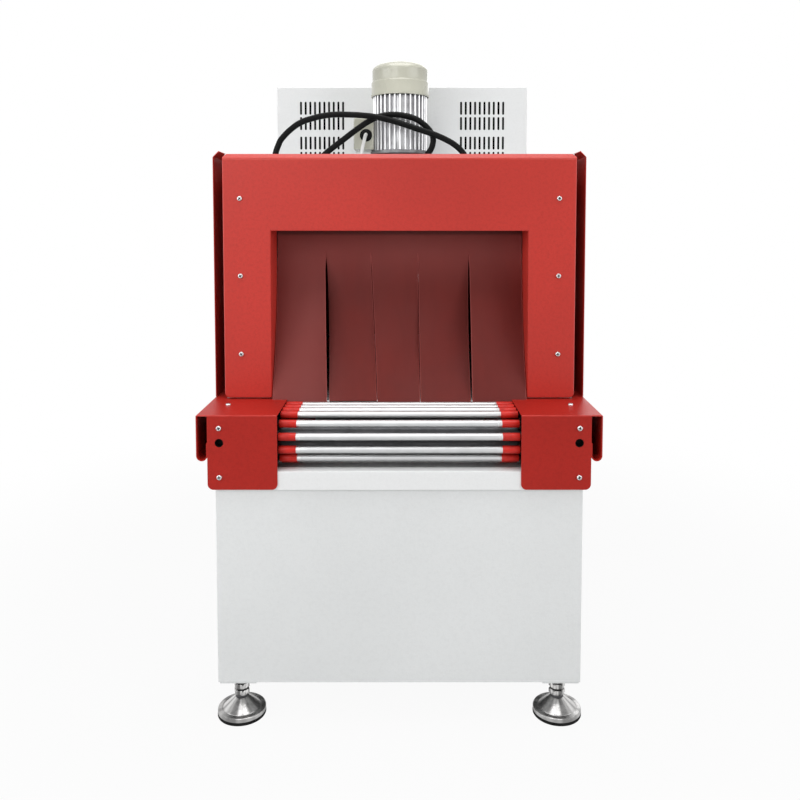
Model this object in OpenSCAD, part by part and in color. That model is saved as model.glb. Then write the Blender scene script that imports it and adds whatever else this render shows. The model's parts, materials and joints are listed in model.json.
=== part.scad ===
// Heat shrink tunnel on a cabinet base: rod conveyor, red hood with strip curtains, fan motor and control box.
// Frame: origin on the floor at the middle, +X right of the infeed end, +Y from infeed to outfeed, +Z up.

/* [Base cabinet] */
// floor to underside of the cabinet
base_z = 82; // [76:1:110]
// height of the cabinet up to its deck
base_h = 408; // [380:1:450]
// how far each cabinet side stands inside the hood's side
base_inset = 10; // [4:1:30]
// cabinet sheet thickness
base_sheet = 3; // [2:0.5:4]
// height of the white sill across each end
sill_h = 36; // [28:1:44]
// rise of the sill above the deck
sill_rise = 8; // [6:0.5:9]
// width of the sill's top flange
sill_flange = 28; // [20:1:30]
// sheet thickness of the sill
sill_sheet = 2; // [1.5:0.5:3]

/* [Levelling feet] */
// foot centre in from the cabinet's side
foot_inset = 38; // [36:1:60]
// foot centre in from the cabinet's end
foot_back = 36; // [34:1:60]
// diameter of the foot cup
cup_d = 94; // [80:1:110]
// height of the foot cup
cup_h = 29; // [22:0.5:30]
// rubber pad thickness
pad_h = 6; // [3:0.5:7]
// flat rim round the foot cup
rim_w = 11; // [8:0.5:14]
// stud diameter
stud_d = 18; // [14:1:20]
// nut width across flats
nut_af = 28; // [24:1:32]
// nut height
nut_h = 10; // [8:0.5:12]
// side of the square plate over each foot
plate_w = 70; // [60:1:72]
// thickness of the plate over each foot
plate_t = 3; // [2:0.5:5]

/* [Conveyor] */
// chain pitch, one rod on every link
pitch = 25.4; // [25.4:0.1:25.4]
// teeth on each sprocket
teeth = 11; // [10:1:11]
// links on each straight run
run_links = 46; // [42:1:48]
// rise of the top run's rod centres above the deck
belt_rise = 107.5; // [100:0.5:120]
// rod diameter
rod_d = 14; // [11:0.5:15]
// wall of the red end sleeve
sleeve_wall = 0.6; // [0.4:0.1:1]
// length of the red end sleeve
sleeve_l = 33; // [24:1:50]
// gap between a sleeve and the guard's inner edge
sleeve_gap = 2; // [1:0.5:6]
// end pin diameter
pin_d = 8; // [6:0.5:9]
// gap between the guard's inner edge and the chain
chain_gap = 5; // [4:0.5:9]
// width of the chain
chain_w = 16; // [12:1:20]
// height of the chain's links at the pins
link_h = 12; // [10:0.5:13]
// axle diameter
axle_d = 25; // [20:1:30]
// roller tube between the sprockets
drum_d = 54; // [46:1:58]
// gap between chain and side rail
rail_gap = 10; // [6:1:14]
// thickness of the side rail
rail_t = 6; // [4:0.5:8]
// width of a bearing block
bearing_w = 56; // [50:1:64]
// height of a bearing block
bearing_h = 70; // [60:1:74]
// thickness of a bearing block
bearing_t = 22; // [16:1:28]

/* [End guards] */
// sheet thickness of the red covers
red_sheet = 2; // [1.5:0.5:3]
// reach of each guard in front of the hood
guard_reach = 143; // [120:1:160]
// room between the rods and the guard's front
guard_room = 6; // [4:0.5:10]
// how far a guard laps past the mouth's jamb
guard_lap = 33.5; // [28:0.5:40]
// height of the guard's front flange
guard_h = 143; // [138:1:150]
// width of the guard's side channel
channel_w = 21; // [16:0.5:22]
// height of the guard's side channel
channel_h = 88; // [70:1:100]
// height of the side channel's inner leg
channel_leg = 24; // [10:1:40]
// corner radius of the front flange
guard_r = 11; // [6:1:16]
// access hole diameter
access_d = 16.4; // [12:0.2:20]
// access hole in from the flange's outer edge
access_in = 22.5; // [16:0.5:30]
// access hole under the guard's top
access_drop = 53; // [46:1:60]

/* [Hood] */
// width of the hood's front panel
hood_w = 720; // [640:1:820]
// height of the hood above the guards
hood_h = 503; // [460:1:560]
// width of the panel on each side of the mouth
jamb_w = 95.5; // [80:0.5:110]
// height of the mouth above the guards
mouth_h = 346.5; // [300:0.5:370]
// depth of the mouth's jambs
jamb = 80; // [70:1:100]
// thickness of the folded end panel
panel_t = 12; // [10:1:16]
// gap under the end panel
panel_gap = 2.5; // [2:0.5:8]
// folded bevel along the panel's top
bevel = 10; // [6:1:11]
// radius of the end panel's lower corners
panel_r = 10; // [4:1:14]
// thickness of the hood's side wall
wall_t = 58; // [40:1:70]
// how far the hood's side wall stands inside the panel's side
wall_in = 2; // [1:0.5:4]
// thickness of the roof
roof_t = 24; // [16:1:40]
// chamber height above the mouth's top
ceiling_rise = 32; // [20:1:50]
// gap between hood panel and side shield
shield_gap = 22.5; // [16:0.5:28]
// front edge of a side shield behind the hood's front
shield_back = 24; // [16:1:40]
// top of a side shield's upright part under the hood's top
shield_drop = 4.5; // [0:0.5:20]
// inward fold at the top of a side shield
shield_fold = 12; // [8:1:16]
// width of a side shield's spacer
spacer_w = 30; // [20:1:40]
// spacers in from the ends of a side shield's height
spacer_in = 60; // [40:1:90]

/* [Curtains] */
// curtain thickness
curtain_t = 3; // [2:0.5:4]
// slits start this far under the mouth's top
slit_drop = 46; // [30:1:80]
// gap between the strips and the top of the guards
curtain_gap = 1.5; // [1:0.5:30]
// gap between neighbouring strips
slit = 2; // [1.5:0.5:4]
// gap between the outer strips and the jambs
curtain_side = 1.5; // [1:0.5:4]

/* [Roof items] */
// height of the motor stand
stand_h = 47.5; // [36:0.5:60]
// side of the motor stand's plate
stand_w = 140; // [120:1:144]
// thickness of the motor stand's plates
stand_t = 9; // [6:0.5:12]
// diameter of the motor body
motor_d = 142; // [130:1:146]
// height of the motor body below the cowl
motor_h = 141; // [120:1:160]
// ribs round the motor body
ribs_n = 32; // [24:2:40]
// thickness of a motor rib
rib_t = 3; // [2:0.5:5]
// depth of the gaps between motor ribs
rib_h = 8; // [5:0.5:12]
// overhang of the fan cowl
cowl_lip = 5; // [3:0.5:8]
// height of the fan cowl
cowl_h = 89; // [80:1:110]
// step between the cowl's two drums
cowl_step = 3; // [2:0.5:5]
// reach of the terminal box from the motor's axis
term_reach = 120; // [110:1:126]
// width of the terminal box
term_w = 92; // [70:1:96]
// height of the terminal box
term_h = 81; // [60:1:100]
// where the terminal box meets the ribs, as a share of the motor's diameter
term_seat = 0.48; // [0.4:0.01:0.49]
// control box in from the hood's side
box_inset = 13; // [8:1:40]
// control box off the middle, to the right
box_shift = 5; // [0:1:7]
// control box front behind the motor's axis
box_y = 120; // [105:1:140]
// depth of the control box
box_l = 260; // [200:1:300]
// height of the control box
box_h = 236.5; // [225:0.5:260]
// sheet thickness of the control box
box_sheet = 2; // [1.5:0.5:3]
// width of one vent slot
vent_w = 5.6; // [4:0.2:7]
// length of one vent slot
vent_h = 36; // [24:1:38]
// spacing of the vent slots
vent_pitch = 13; // [10:0.5:14]
// innermost vent slot from the middle
vent_x = 164; // [150:1:180]
// cable diameter
cable_d = 15; // [12:1:16]
// motor lead diameter
lead_d = 9; // [6:1:10]
// grommet on the terminal box
grommet_d = 32; // [24:1:36]
// wall of a cable gland
gland_wall = 4.5; // [3:0.5:6]

/* [Hidden] */
$fn = 48;
base_w = hood_w - 2 * base_inset;
deck_z = base_z + base_h;
belt_z = deck_z + belt_rise;
sprocket_r = pitch / (2 * sin(180 / teeth));
axle_y = run_links * pitch / 2;
axle_z = belt_z - sprocket_r;
rods = 2 * run_links + teeth;
phase = 0.617;
sleeve_d = rod_d + 2 * sleeve_wall;
guard_y = axle_y + sprocket_r + sleeve_d / 2 + guard_room;
guard_top = belt_z + rod_d / 2 + red_sheet;
seat_z = guard_top - red_sheet;
hood_top = guard_top + hood_h;
hood_y = guard_y - guard_reach;
hood_z = guard_top + panel_gap;
panel_back = hood_y - panel_t;
jamb_back = hood_y - jamb;
mouth_x = hood_w / 2 - jamb_w;
mouth_top = guard_top + mouth_h;
ceiling_z = mouth_top + ceiling_rise;
wall_x = hood_w / 2 - wall_in;
shield_y = hood_y - shield_back;
shield_top = hood_top - shield_drop;
guard_x0 = mouth_x - guard_lap;
guard_x2 = hood_w / 2 + shield_gap + red_sheet;
guard_x1 = guard_x2 - channel_w;
chain_x = guard_x0 + chain_gap;
sleeve_x1 = guard_x0 - sleeve_gap;
sleeve_x0 = sleeve_x1 - sleeve_l;
rail_x = chain_x + chain_w + rail_gap;
sill_y = guard_y - red_sheet;
sill_top = deck_z + sill_rise;
base_y = sill_y - 2 * sill_sheet - 1;
floor_top = base_z + base_sheet;
foot_x = base_w / 2 - foot_inset;
foot_y = base_y - foot_back;
cup_top = pad_h + cup_h;
cuts = [-1, -0.605, -0.2375, 0.15, 0.567, 1];
strips = len(cuts) - 1;
curtain_x = mouth_x - red_sheet - curtain_side;
slit_z = mouth_top - slit_drop;
curtain_z = guard_top + curtain_gap;
curtain_y = jamb_back;
reaches = [1.05, 0.88, 0.78, 0.83, 1.03];
stand_top = hood_top + stand_h;
cowl_z = stand_top + motor_h;
cowl_top = cowl_z + cowl_h;
cowl_r = motor_d / 2 + cowl_lip;
box_x = hood_w / 2 - box_inset;
box_top = hood_top + box_h;
vent_drops = [for (r = [0.245, 0.423, 0.651, 0.829]) r * box_h];

module box(x0, x1, y0, y1, z0, z1) translate([x0, y0, z0]) cube([x1 - x0, y1 - y0, z1 - z0]);
module rear() rotate([0, 0, 180]) children();
module other() mirror([1, 0, 0]) children();
module four() for (x = [-foot_x, foot_x], y = [-foot_y, foot_y]) translate([x, y, 0]) children();
module along_x(x0, x1, d) translate([x0, 0, 0]) rotate([0, 90, 0]) cylinder(d = d, h = x1 - x0);
module along_y(y0, y1) translate([0, y1, 0]) rotate([90, 0, 0]) linear_extrude(y1 - y0) children();

// Place of rod i on the chain's loop, from the infeed end's top tangent: [y, z] about the axle height.
function rod_at(i) = let (s = i + phase, half = teeth / 2, a = 360 / teeth)
  s < run_links ? [-axle_y + s * pitch, sprocket_r]
  : s < run_links + half ? let (t = (s - run_links) * a) [axle_y + sprocket_r * sin(t), sprocket_r * cos(t)]
  : s < 2 * run_links + half ? [axle_y - (s - run_links - half) * pitch, -sprocket_r]
  : let (t = (s - 2 * run_links - half) * a) [-axle_y - sprocket_r * sin(t), -sprocket_r * cos(t)];

module base_floor() color([0.85, 0.86, 0.86]) {
  box(-base_w / 2, base_w / 2, -base_y, base_y, base_z, floor_top);
  four() translate([-plate_w / 2, -plate_w / 2, base_z - plate_t]) cube([plate_w, plate_w, plate_t]);
}
module base_front_panel() color([0.86, 0.87, 0.87])
  box(-base_w / 2, base_w / 2, -base_y, -base_y + base_sheet, floor_top, deck_z - base_sheet);
module base_left_panel() color([0.86, 0.87, 0.87])
  box(-base_w / 2, -base_w / 2 + base_sheet, -base_y + base_sheet, base_y - base_sheet, floor_top,
    deck_z - base_sheet);
module base_deck() color([0.86, 0.87, 0.87])
  box(-base_w / 2, base_w / 2, -base_y, base_y, deck_z - base_sheet, deck_z);
module front_sill() color([0.91, 0.91, 0.91]) {
  box(-base_w / 2, base_w / 2, -sill_y, -sill_y + sill_sheet, sill_top - sill_h, sill_top - sill_sheet);
  box(-base_w / 2, base_w / 2, -sill_y, -sill_y + sill_flange, sill_top - sill_sheet, sill_top);
  box(-base_w / 2, base_w / 2, -sill_y + sill_sheet, -base_y, sill_top - sill_h,
    sill_top - sill_h + sill_sheet);
  box(-base_w / 2, base_w / 2, -sill_y + sill_flange - sill_sheet, -sill_y + sill_flange, deck_z,
    sill_top - sill_sheet);
}

module nut(z0) translate([0, 0, z0]) cylinder(d = nut_af / cos(30), h = nut_h, $fn = 6);
module foot_studs() color([0.75, 0.75, 0.76]) four() {
  translate([0, 0, cup_top]) cylinder(d = stud_d, h = base_z - plate_t - cup_top);
  translate([0, 0, cup_top]) cylinder(d = nut_af - 4, h = nut_h * 0.6);
  nut(cup_top + nut_h * 0.6);
  nut(cup_top + nut_h * 1.9);
  nut(base_z - plate_t - nut_h * 1.3);
  translate([0, 0, base_z - plate_t - nut_h * 0.3]) cylinder(d = nut_af + 2, h = nut_h * 0.3);
}
module foot_cups() color([0.8, 0.8, 0.81]) four() translate([0, 0, pad_h]) rotate_extrude()
  polygon([[0, 0], [cup_d / 2, 0], [cup_d / 2, cup_h * 0.24], [cup_d / 2 - rim_w * 0.14, cup_h * 0.29],
    [cup_d / 2 - rim_w, cup_h * 0.32], [nut_af * 0.48, cup_h], [0, cup_h]]);
module foot_pads() color([0.05, 0.05, 0.05]) four() cylinder(d = cup_d - 2, h = pad_h);

module left_rail() color([0.85, 0.86, 0.86]) difference() {
  union() {
    box(-rail_x - rail_t, -rail_x, -base_y, base_y, deck_z, seat_z - 3);
    box(-base_w / 2, -rail_x, -panel_back, panel_back, seat_z - 3, seat_z);
    box(-base_w / 2, -base_w / 2 + base_sheet, -panel_back, panel_back, deck_z, seat_z - 3);
  }
  for (y = [-axle_y, axle_y]) translate([0, y, axle_z]) along_x(-rail_x - rail_t - 1, -rail_x + 1, axle_d + 4);
}
module axle_bearings() color([0.25, 0.26, 0.27])
  for (s = [-1, 1], y = [-axle_y, axle_y]) translate([s * (rail_x + rail_t + bearing_t / 2), y, axle_z])
    difference() {
      cube([bearing_t, bearing_w, bearing_h], center = true);
      along_x(-bearing_t, bearing_t, axle_d);
    }
module axle_shape() {
  along_x(-rail_x - rail_t - bearing_t - 4, rail_x + rail_t + bearing_t + 4, axle_d);
  along_x(-sleeve_x1, sleeve_x1, drum_d);
}
module front_axle() color([0.32, 0.33, 0.34]) translate([0, -axle_y, axle_z]) axle_shape();
module rear_axle() color([0.32, 0.33, 0.34]) translate([0, axle_y, axle_z]) axle_shape();
module sprockets() color([0.3, 0.3, 0.31])
  for (s = [-1, 1], y = [-axle_y, axle_y]) translate([s * (chain_x + chain_w / 2), y, axle_z]) difference() {
    along_x(-5, 5, 2 * sprocket_r - link_h);
    along_x(-6, 6, axle_d);
  }
// One closed loop of chain: a round at every pin and a narrower bar along every link.
module left_chain() color([0.22, 0.22, 0.23]) translate([-chain_x - chain_w, 0, axle_z])
  rotate([90, 0, 90]) linear_extrude(chain_w) for (i = [0 : rods - 1])
    let (a = rod_at(i), b = rod_at((i + 1) % rods), v = b - a) translate(a) {
      circle(d = link_h);
      rotate(atan2(v[1], v[0])) translate([0, -link_h * 0.35]) square([norm(v), link_h * 0.7]);
    }
module conveyor_rods() color([0.83, 0.84, 0.85])
  for (i = [0 : rods - 1]) translate([0, rod_at(i)[0], axle_z + rod_at(i)[1]]) {
    along_x(-sleeve_x1 - sleeve_gap, sleeve_x1 + sleeve_gap, rod_d);
    along_x(-chain_x, chain_x, pin_d);
  }
module rod_sleeves() color([0.76, 0.18, 0.16])
  for (i = [0 : rods - 1], s = [0, 1]) translate([0, rod_at(i)[0], axle_z + rod_at(i)[1]]) mirror([s, 0, 0])
    difference() {
      along_x(sleeve_x0, sleeve_x1, sleeve_d);
      along_x(sleeve_x0 - 1, sleeve_x1 + 1, rod_d);
    }

// Section of the side channel, in x and z: outer skin, rounded bottom and a short inner leg.
module channel_2d(top) {
  translate([guard_x2 - red_sheet, guard_top - channel_h + channel_w / 2])
    square([red_sheet, top - guard_top + channel_h - channel_w / 2]);
  translate([guard_x1, guard_top - channel_h + channel_w / 2]) square([red_sheet, channel_leg]);
  translate([guard_x1 + channel_w / 2, guard_top - channel_h + channel_w / 2]) difference() {
    circle(d = channel_w);
    circle(d = channel_w - 2 * red_sheet);
    translate([-channel_w, 0]) square([2 * channel_w, channel_w]);
  }
}
// What a rounded lower left corner takes away.
module corner_2d(r) difference() {
  translate([-1, -1]) square(r + 1);
  translate([r, r]) circle(r = r);
}
// Front flange in x and z, with rounded lower corners.
module flange_2d() difference() {
  translate([guard_x0, guard_top - guard_h]) square([guard_x1 - guard_x0, guard_h]);
  for (s = [0, 1]) translate([s ? guard_x1 : guard_x0, guard_top - guard_h]) mirror([s, 0]) corner_2d(guard_r);
}
module front_right_guard() color([0.7, 0.18, 0.15]) difference() {
  union() {
    along_y(-guard_y, -panel_back) {
      channel_2d(seat_z);
      translate([guard_x0, seat_z]) square([guard_x2 - guard_x0, red_sheet]);
    }
    along_y(-guard_y, -sill_y) flange_2d();
  }
  translate([guard_x1 - access_in, -sill_y + 1, guard_top - access_drop]) rotate([90, 0, 0])
    cylinder(d = access_d, h = red_sheet + 2);
}
module right_side_cover() color([0.68, 0.18, 0.15]) {
  along_y(-panel_back, panel_back) {
    channel_2d(seat_z);
    translate([wall_x, seat_z]) square([guard_x2 - wall_x, red_sheet]);
  }
}
module right_side_shield() color([0.68, 0.2, 0.17]) {
  along_y(-shield_y, shield_y) polygon([[guard_x2 - red_sheet, guard_top], [guard_x2, guard_top],
    [guard_x2, shield_top], [guard_x2 - shield_fold, shield_top + shield_fold],
    [guard_x2 - shield_fold - red_sheet * 0.7, shield_top + shield_fold - red_sheet * 0.7],
    [guard_x2 - red_sheet, shield_top - red_sheet * 0.4]]);
  for (y = [-0.7, 0, 0.7], z = [guard_top + spacer_in, shield_top - spacer_in])
    translate([wall_x, y * shield_y - spacer_w / 2, z - spacer_w / 2])
      cube([guard_x2 - red_sheet / 2 - wall_x, spacer_w, spacer_w]);
}

module front_hood_panel() color([0.75, 0.24, 0.2]) {
  difference() {
    translate([-hood_w / 2, 0, 0]) rotate([90, 0, 90]) linear_extrude(hood_w)
      polygon([[-hood_y, hood_z], [-panel_back, hood_z], [-panel_back, hood_top], [-hood_y + bevel, hood_top],
        [-hood_y, hood_top - bevel]]);
    box(-mouth_x, mouth_x, -hood_y - 1, -panel_back + 1, hood_z - 1, mouth_top);
    for (s = [0, 1]) mirror([s, 0, 0]) along_y(-hood_y - 1, -panel_back + 1)
      translate([-hood_w / 2, hood_z]) corner_2d(panel_r);
    for (s = [-1, 1]) translate([s * hood_w / 2, -hood_y, hood_top]) rotate([0, 45, 0])
      cube([bevel, 4 * bevel, bevel], center = true);
  }
  for (s = [0, 1]) mirror([s, 0, 0]) box(mouth_x - red_sheet, mouth_x, -hood_y, -jamb_back, hood_z, mouth_top);
  box(-mouth_x, mouth_x, -hood_y, -jamb_back, mouth_top, mouth_top + red_sheet);
}
module front_end_wall() color([0.55, 0.56, 0.57]) difference() {
  box(-wall_x, wall_x, -panel_back, -jamb_back, seat_z, hood_top - roof_t);
  box(-mouth_x, mouth_x, -panel_back - 1, -jamb_back + 1, seat_z - 1, mouth_top + red_sheet);
}
module right_hood_wall() color([0.62, 0.63, 0.64])
  box(wall_x - wall_t, wall_x, -jamb_back, jamb_back, seat_z, hood_top - roof_t);
module hood_roof() color([0.62, 0.63, 0.64]) {
  box(-wall_x, wall_x, -panel_back, panel_back, hood_top - roof_t, hood_top);
  box(-wall_x + wall_t, wall_x - wall_t, -jamb_back, jamb_back, ceiling_z, hood_top - roof_t);
}

// Side line of a hanging strip from the slits down: it leans out by reach at the lowest edge.
function lean(reach, n) = [for (i = [0 : n]) let (t = i / n)
  [-curtain_y - reach * (t * t * (1.9 - 0.9 * t)), slit_z + (curtain_z - slit_z) * t]];
function shift(line, d) = [for (i = [len(line) - 1 : -1 : 0]) [line[i][0] + d, line[i][1]]];
module front_curtain() color([0.36, 0.13, 0.12]) {
  box(-curtain_x, curtain_x, -curtain_y, -curtain_y + curtain_t, slit_z - curtain_t, ceiling_z);
  for (i = [0 : strips - 1]) let (reach = jamb * reaches[i])
    translate([cuts[i] * curtain_x + slit / 2, 0, 0]) rotate([90, 0, 90])
      linear_extrude((cuts[i + 1] - cuts[i]) * curtain_x - slit)
        polygon(concat(lean(reach, 12), shift(lean(reach, 12), curtain_t)));
}

module motor_stand() color([0.6, 0.61, 0.62]) {
  translate([-stand_w / 2, -stand_w / 2, hood_top]) cube([stand_w, stand_w, stand_t]);
  translate([0, 0, hood_top]) cylinder(d = motor_d - 2 * rib_h, h = stand_h);
  translate([0, 0, stand_top - stand_t]) cylinder(r = cowl_r + 2, h = stand_t);
}
module motor_body() color([0.8, 0.8, 0.81]) translate([0, 0, stand_top]) {
  cylinder(d = motor_d - 2 * rib_h, h = motor_h + cowl_lip);
  linear_extrude(motor_h - cowl_lip) for (i = [0 : ribs_n - 1]) rotate(360 * (i + 0.5) / ribs_n)
    translate([0, -rib_t / 2]) square([motor_d / 2, rib_t]);
  translate([0, 0, motor_h - cowl_lip]) cylinder(d = motor_d, h = 2 * cowl_lip);
}
module motor_cowl() color([0.82, 0.81, 0.74]) translate([0, 0, cowl_z]) rotate_extrude()
  polygon([[0, cowl_lip], [motor_d / 2, cowl_lip], [motor_d / 2, 0], [cowl_r, 0], [cowl_r, cowl_h * 0.41],
    [cowl_r - cowl_step, cowl_h * 0.45], [cowl_r - cowl_step, cowl_h * 0.74],
    [cowl_r * 0.9, cowl_h * 0.85], [cowl_r * 0.77, cowl_h * 0.93], [cowl_r * 0.48, cowl_h * 0.985],
    [0, cowl_h]]);
module terminal_box() color([0.8, 0.79, 0.72]) difference() {
  box(-term_reach, -motor_d * term_seat, -term_w / 2, term_w / 2, stand_top + 2, stand_top + 2 + term_h);
  translate([0, 0, stand_top]) cylinder(d = motor_d, h = motor_h);
}
module slot_2d(w, h) {
  translate([-w / 2, -h / 2 + w / 2]) square([w, h - w]);
  for (z = [-1, 1]) translate([0, z * (h - w) / 2]) circle(d = w);
}
module control_box() color([0.88, 0.89, 0.89]) translate([box_shift, 0, 0]) difference() {
  box(-box_x, box_x, box_y, box_y + box_l, hood_top, box_top);
  box(-box_x + box_sheet, box_x - box_sheet, box_y + box_sheet, box_y + box_l - box_sheet, hood_top + box_sheet,
    box_top - box_sheet);
  along_y(box_y - 1, box_y + box_sheet + 1)
    for (s = [-1, 1], i = [0 : 9], drop = vent_drops)
      translate([s * (vent_x + vent_pitch * i), box_top - drop]) slot_2d(vent_w, vent_h);
}

// Round tube swept along a line of points: n sides, ends square to the run.
function unit(v) = v / norm(v);
function tangent(p, i) = unit(p[min(i + 1, len(p) - 1)] - p[max(i - 1, 0)]);
function ring(p, i, d, n) = let (t = tangent(p, i), u = unit(cross(t, [0.11, 1, 0.07])), v = cross(t, u))
  [for (k = [0 : n - 1]) p[i] + d / 2 * (cos(360 * k / n) * u + sin(360 * k / n) * v)];
module cord(p, d, n) {
  last = len(p) - 1;
  polyhedron(points = [for (i = [0 : last]) each ring(p, i, d, n)],
    faces = concat([[for (k = [0 : n - 1]) k]], [[for (k = [n - 1 : -1 : 0]) last * n + k]],
      [for (i = [0 : last - 1], k = [0 : n - 1])
        [i * n + k, (i + 1) * n + k, (i + 1) * n + (k + 1) % n, i * n + (k + 1) % n]]));
}
// Routes of the cords, as x, y and height above the roof.
heater_route = [[-314, -100, 12], [-314, -100, 32], [-306, -100, 56], [-293, -100, 77], [-251, -101, 111],
  [-187, -103, 129], [-130, -104, 131], [-67, -105, 126], [-17, -104, 115], [46, -102, 95], [96, -101, 78],
  [135, -100, 58], [157, -100, 38], [164, -100, 24], [164, -100, 12]];
supply_route = [[-202, -84, 12], [-202, -84, 22], [-184, -84, 40], [-145, -84, 70], [-102, -85, 102],
  [-67, -86, 123], [-31, -86, 133], [11, -86, 131], [46, -86, 119], [74, -85, 95], [84, -84, 72],
  [79, -84, 48], [68, -84, 32], [66, -84, 22], [66, -84, 12]];
lead_route = [[-88, -52, 86], [-88, -60, 86], [-90, -69, 78], [-94, -73, 60], [-98, -73, 40], [-101, -73, 24],
  [-101, -73, 12]];
function last(v) = v[len(v) - 1];
gland_ends = [heater_route[0], last(heater_route), supply_route[0], last(supply_route)];
module cable_glands() color([0.08, 0.08, 0.08]) translate([0, 0, hood_top]) {
  for (p = gland_ends) translate([p[0], p[1], 0]) cylinder(d = cable_d + 2 * gland_wall, h = p[2]);
  let (p = last(lead_route)) translate([p[0], p[1], 0]) cylinder(d = lead_d + 2 * gland_wall, h = p[2]);
  translate(lead_route[0]) rotate([-90, 0, 0]) cylinder(d = grommet_d, h = -term_w / 2 - lead_route[0][1]);
}
module heater_cable() color([0.06, 0.06, 0.06]) translate([0, 0, hood_top]) cord(heater_route, cable_d, 12);
module supply_cable() color([0.06, 0.06, 0.06]) translate([0, 0, hood_top]) cord(supply_route, cable_d, 12);
module motor_lead() color([0.85, 0.85, 0.84]) translate([0, 0, hood_top]) cord(lead_route, lead_d, 10);

module base_rear_panel() rear() base_front_panel();
module base_right_panel() other() base_left_panel();
module rear_sill() rear() front_sill();
module right_rail() other() left_rail();
module right_chain() other() left_chain();
module front_left_guard() other() front_right_guard();
module rear_left_guard() rear() front_right_guard();
module rear_right_guard() rear() front_left_guard();
module left_side_cover() other() right_side_cover();
module left_side_shield() other() right_side_shield();
module rear_hood_panel() rear() front_hood_panel();
module rear_end_wall() rear() front_end_wall();
module left_hood_wall() other() right_hood_wall();
module rear_curtain() rear() front_curtain();

base_floor();
base_front_panel();
base_rear_panel();
base_left_panel();
base_right_panel();
base_deck();
front_sill();
rear_sill();
foot_studs();
foot_cups();
foot_pads();
left_rail();
right_rail();
axle_bearings();
front_axle();
rear_axle();
sprockets();
left_chain();
right_chain();
conveyor_rods();
rod_sleeves();
front_left_guard();
front_right_guard();
rear_left_guard();
rear_right_guard();
left_side_cover();
right_side_cover();
left_side_shield();
right_side_shield();
front_hood_panel();
rear_hood_panel();
front_end_wall();
rear_end_wall();
left_hood_wall();
right_hood_wall();
hood_roof();
front_curtain();
rear_curtain();
motor_stand();
motor_body();
motor_cowl();
terminal_box();
control_box();
cable_glands();
heater_cable();
supply_cable();
motor_lead();
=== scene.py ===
"""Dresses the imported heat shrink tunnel: sheet metal, rod conveyor, strip curtains, fan motor and cables."""

import json
import logging
import math
import random
from dataclasses import dataclass, field
from enum import Enum
from functools import lru_cache
from typing import Any, Callable, Dict, Iterable, List, Optional, Sequence, Tuple, Union

import bmesh
import bpy
from mathutils import Matrix, Vector

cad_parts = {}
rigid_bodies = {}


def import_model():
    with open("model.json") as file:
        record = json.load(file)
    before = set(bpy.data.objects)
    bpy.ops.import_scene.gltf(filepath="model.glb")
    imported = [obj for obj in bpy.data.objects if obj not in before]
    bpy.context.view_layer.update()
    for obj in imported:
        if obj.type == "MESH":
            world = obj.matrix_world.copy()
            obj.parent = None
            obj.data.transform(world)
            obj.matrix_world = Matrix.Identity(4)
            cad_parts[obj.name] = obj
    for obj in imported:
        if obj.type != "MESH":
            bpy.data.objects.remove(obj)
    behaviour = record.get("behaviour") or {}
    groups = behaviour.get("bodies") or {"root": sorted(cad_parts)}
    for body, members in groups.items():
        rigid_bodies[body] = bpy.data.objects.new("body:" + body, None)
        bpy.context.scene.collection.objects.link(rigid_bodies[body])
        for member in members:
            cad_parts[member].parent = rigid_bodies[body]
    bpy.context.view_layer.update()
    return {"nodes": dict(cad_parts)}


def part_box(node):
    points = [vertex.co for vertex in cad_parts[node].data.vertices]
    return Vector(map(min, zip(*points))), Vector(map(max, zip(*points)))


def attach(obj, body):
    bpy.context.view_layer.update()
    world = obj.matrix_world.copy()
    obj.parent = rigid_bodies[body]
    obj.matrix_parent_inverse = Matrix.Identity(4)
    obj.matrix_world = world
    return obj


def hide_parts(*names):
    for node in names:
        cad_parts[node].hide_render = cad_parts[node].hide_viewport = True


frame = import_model()
LOG = logging.getLogger("tunnel")
MM = 0.001
HERE = Matrix()
ALONG_X = Matrix.Rotation(math.pi / 2, 4, "Y")
UP = (0.0, 0.0, 1.0)
SMOOTH = 35.0
Pair = Tuple[float, float]
Point = Tuple[float, float, float]
Colour = Tuple[float, float, float]
Mesh, Object, Socket = bpy.types.Mesh, bpy.types.Object, bpy.types.NodeSocket
BMesh, BMVert, BMEdge = bmesh.types.BMesh, bmesh.types.BMVert, bmesh.types.BMEdge


class End(Enum):
    """Ends of the tunnel, by the sign of y."""

    INFEED = -1
    OUTFEED = 1


class Side(Enum):
    """Sides of the tunnel, by the sign of x."""

    LEFT = -1
    RIGHT = 1


def linear(red: int, green: int, blue: int) -> Colour:
    """Scene-linear colour of an 8-bit display colour.

    Args:
        red, green, blue: display values from 0 to 255.

    Returns:
        Three linear values.
    """
    return tuple(c / 255 / 12.92 if c <= 10 else ((c / 255 + 0.055) / 1.055) ** 2.4 for c in (red, green, blue))


def shade(colour: Sequence[float], gain: float = 1.0) -> Tuple[float, ...]:
    """Colour times a gain, with an alpha of 1."""
    return tuple(min(1.0, c * gain) for c in colour) + (1.0,)


def polar(radius: float, angle: float) -> Pair:
    """Point at a radius and an angle in radians."""
    return radius * math.cos(angle), radius * math.sin(angle)


# Node sheets


def math_method(operation: str, swapped: bool = False) -> Callable[..., "Wire"]:
    """Makes a method of Wire that adds one Math node.

    Args:
        operation: Blender's name of the operation.
        swapped: True where the wire is the second term.

    Returns:
        The method, which takes the other term.
    """

    def method(wire: "Wire", other: "Term" = 0.0) -> "Wire":
        """Adds the node and gives its result."""
        terms = (other, wire) if swapped else (wire, other)
        return wire.sheet.node("ShaderNodeMath", {"operation": operation}, dict(enumerate(terms)))

    return method


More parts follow.
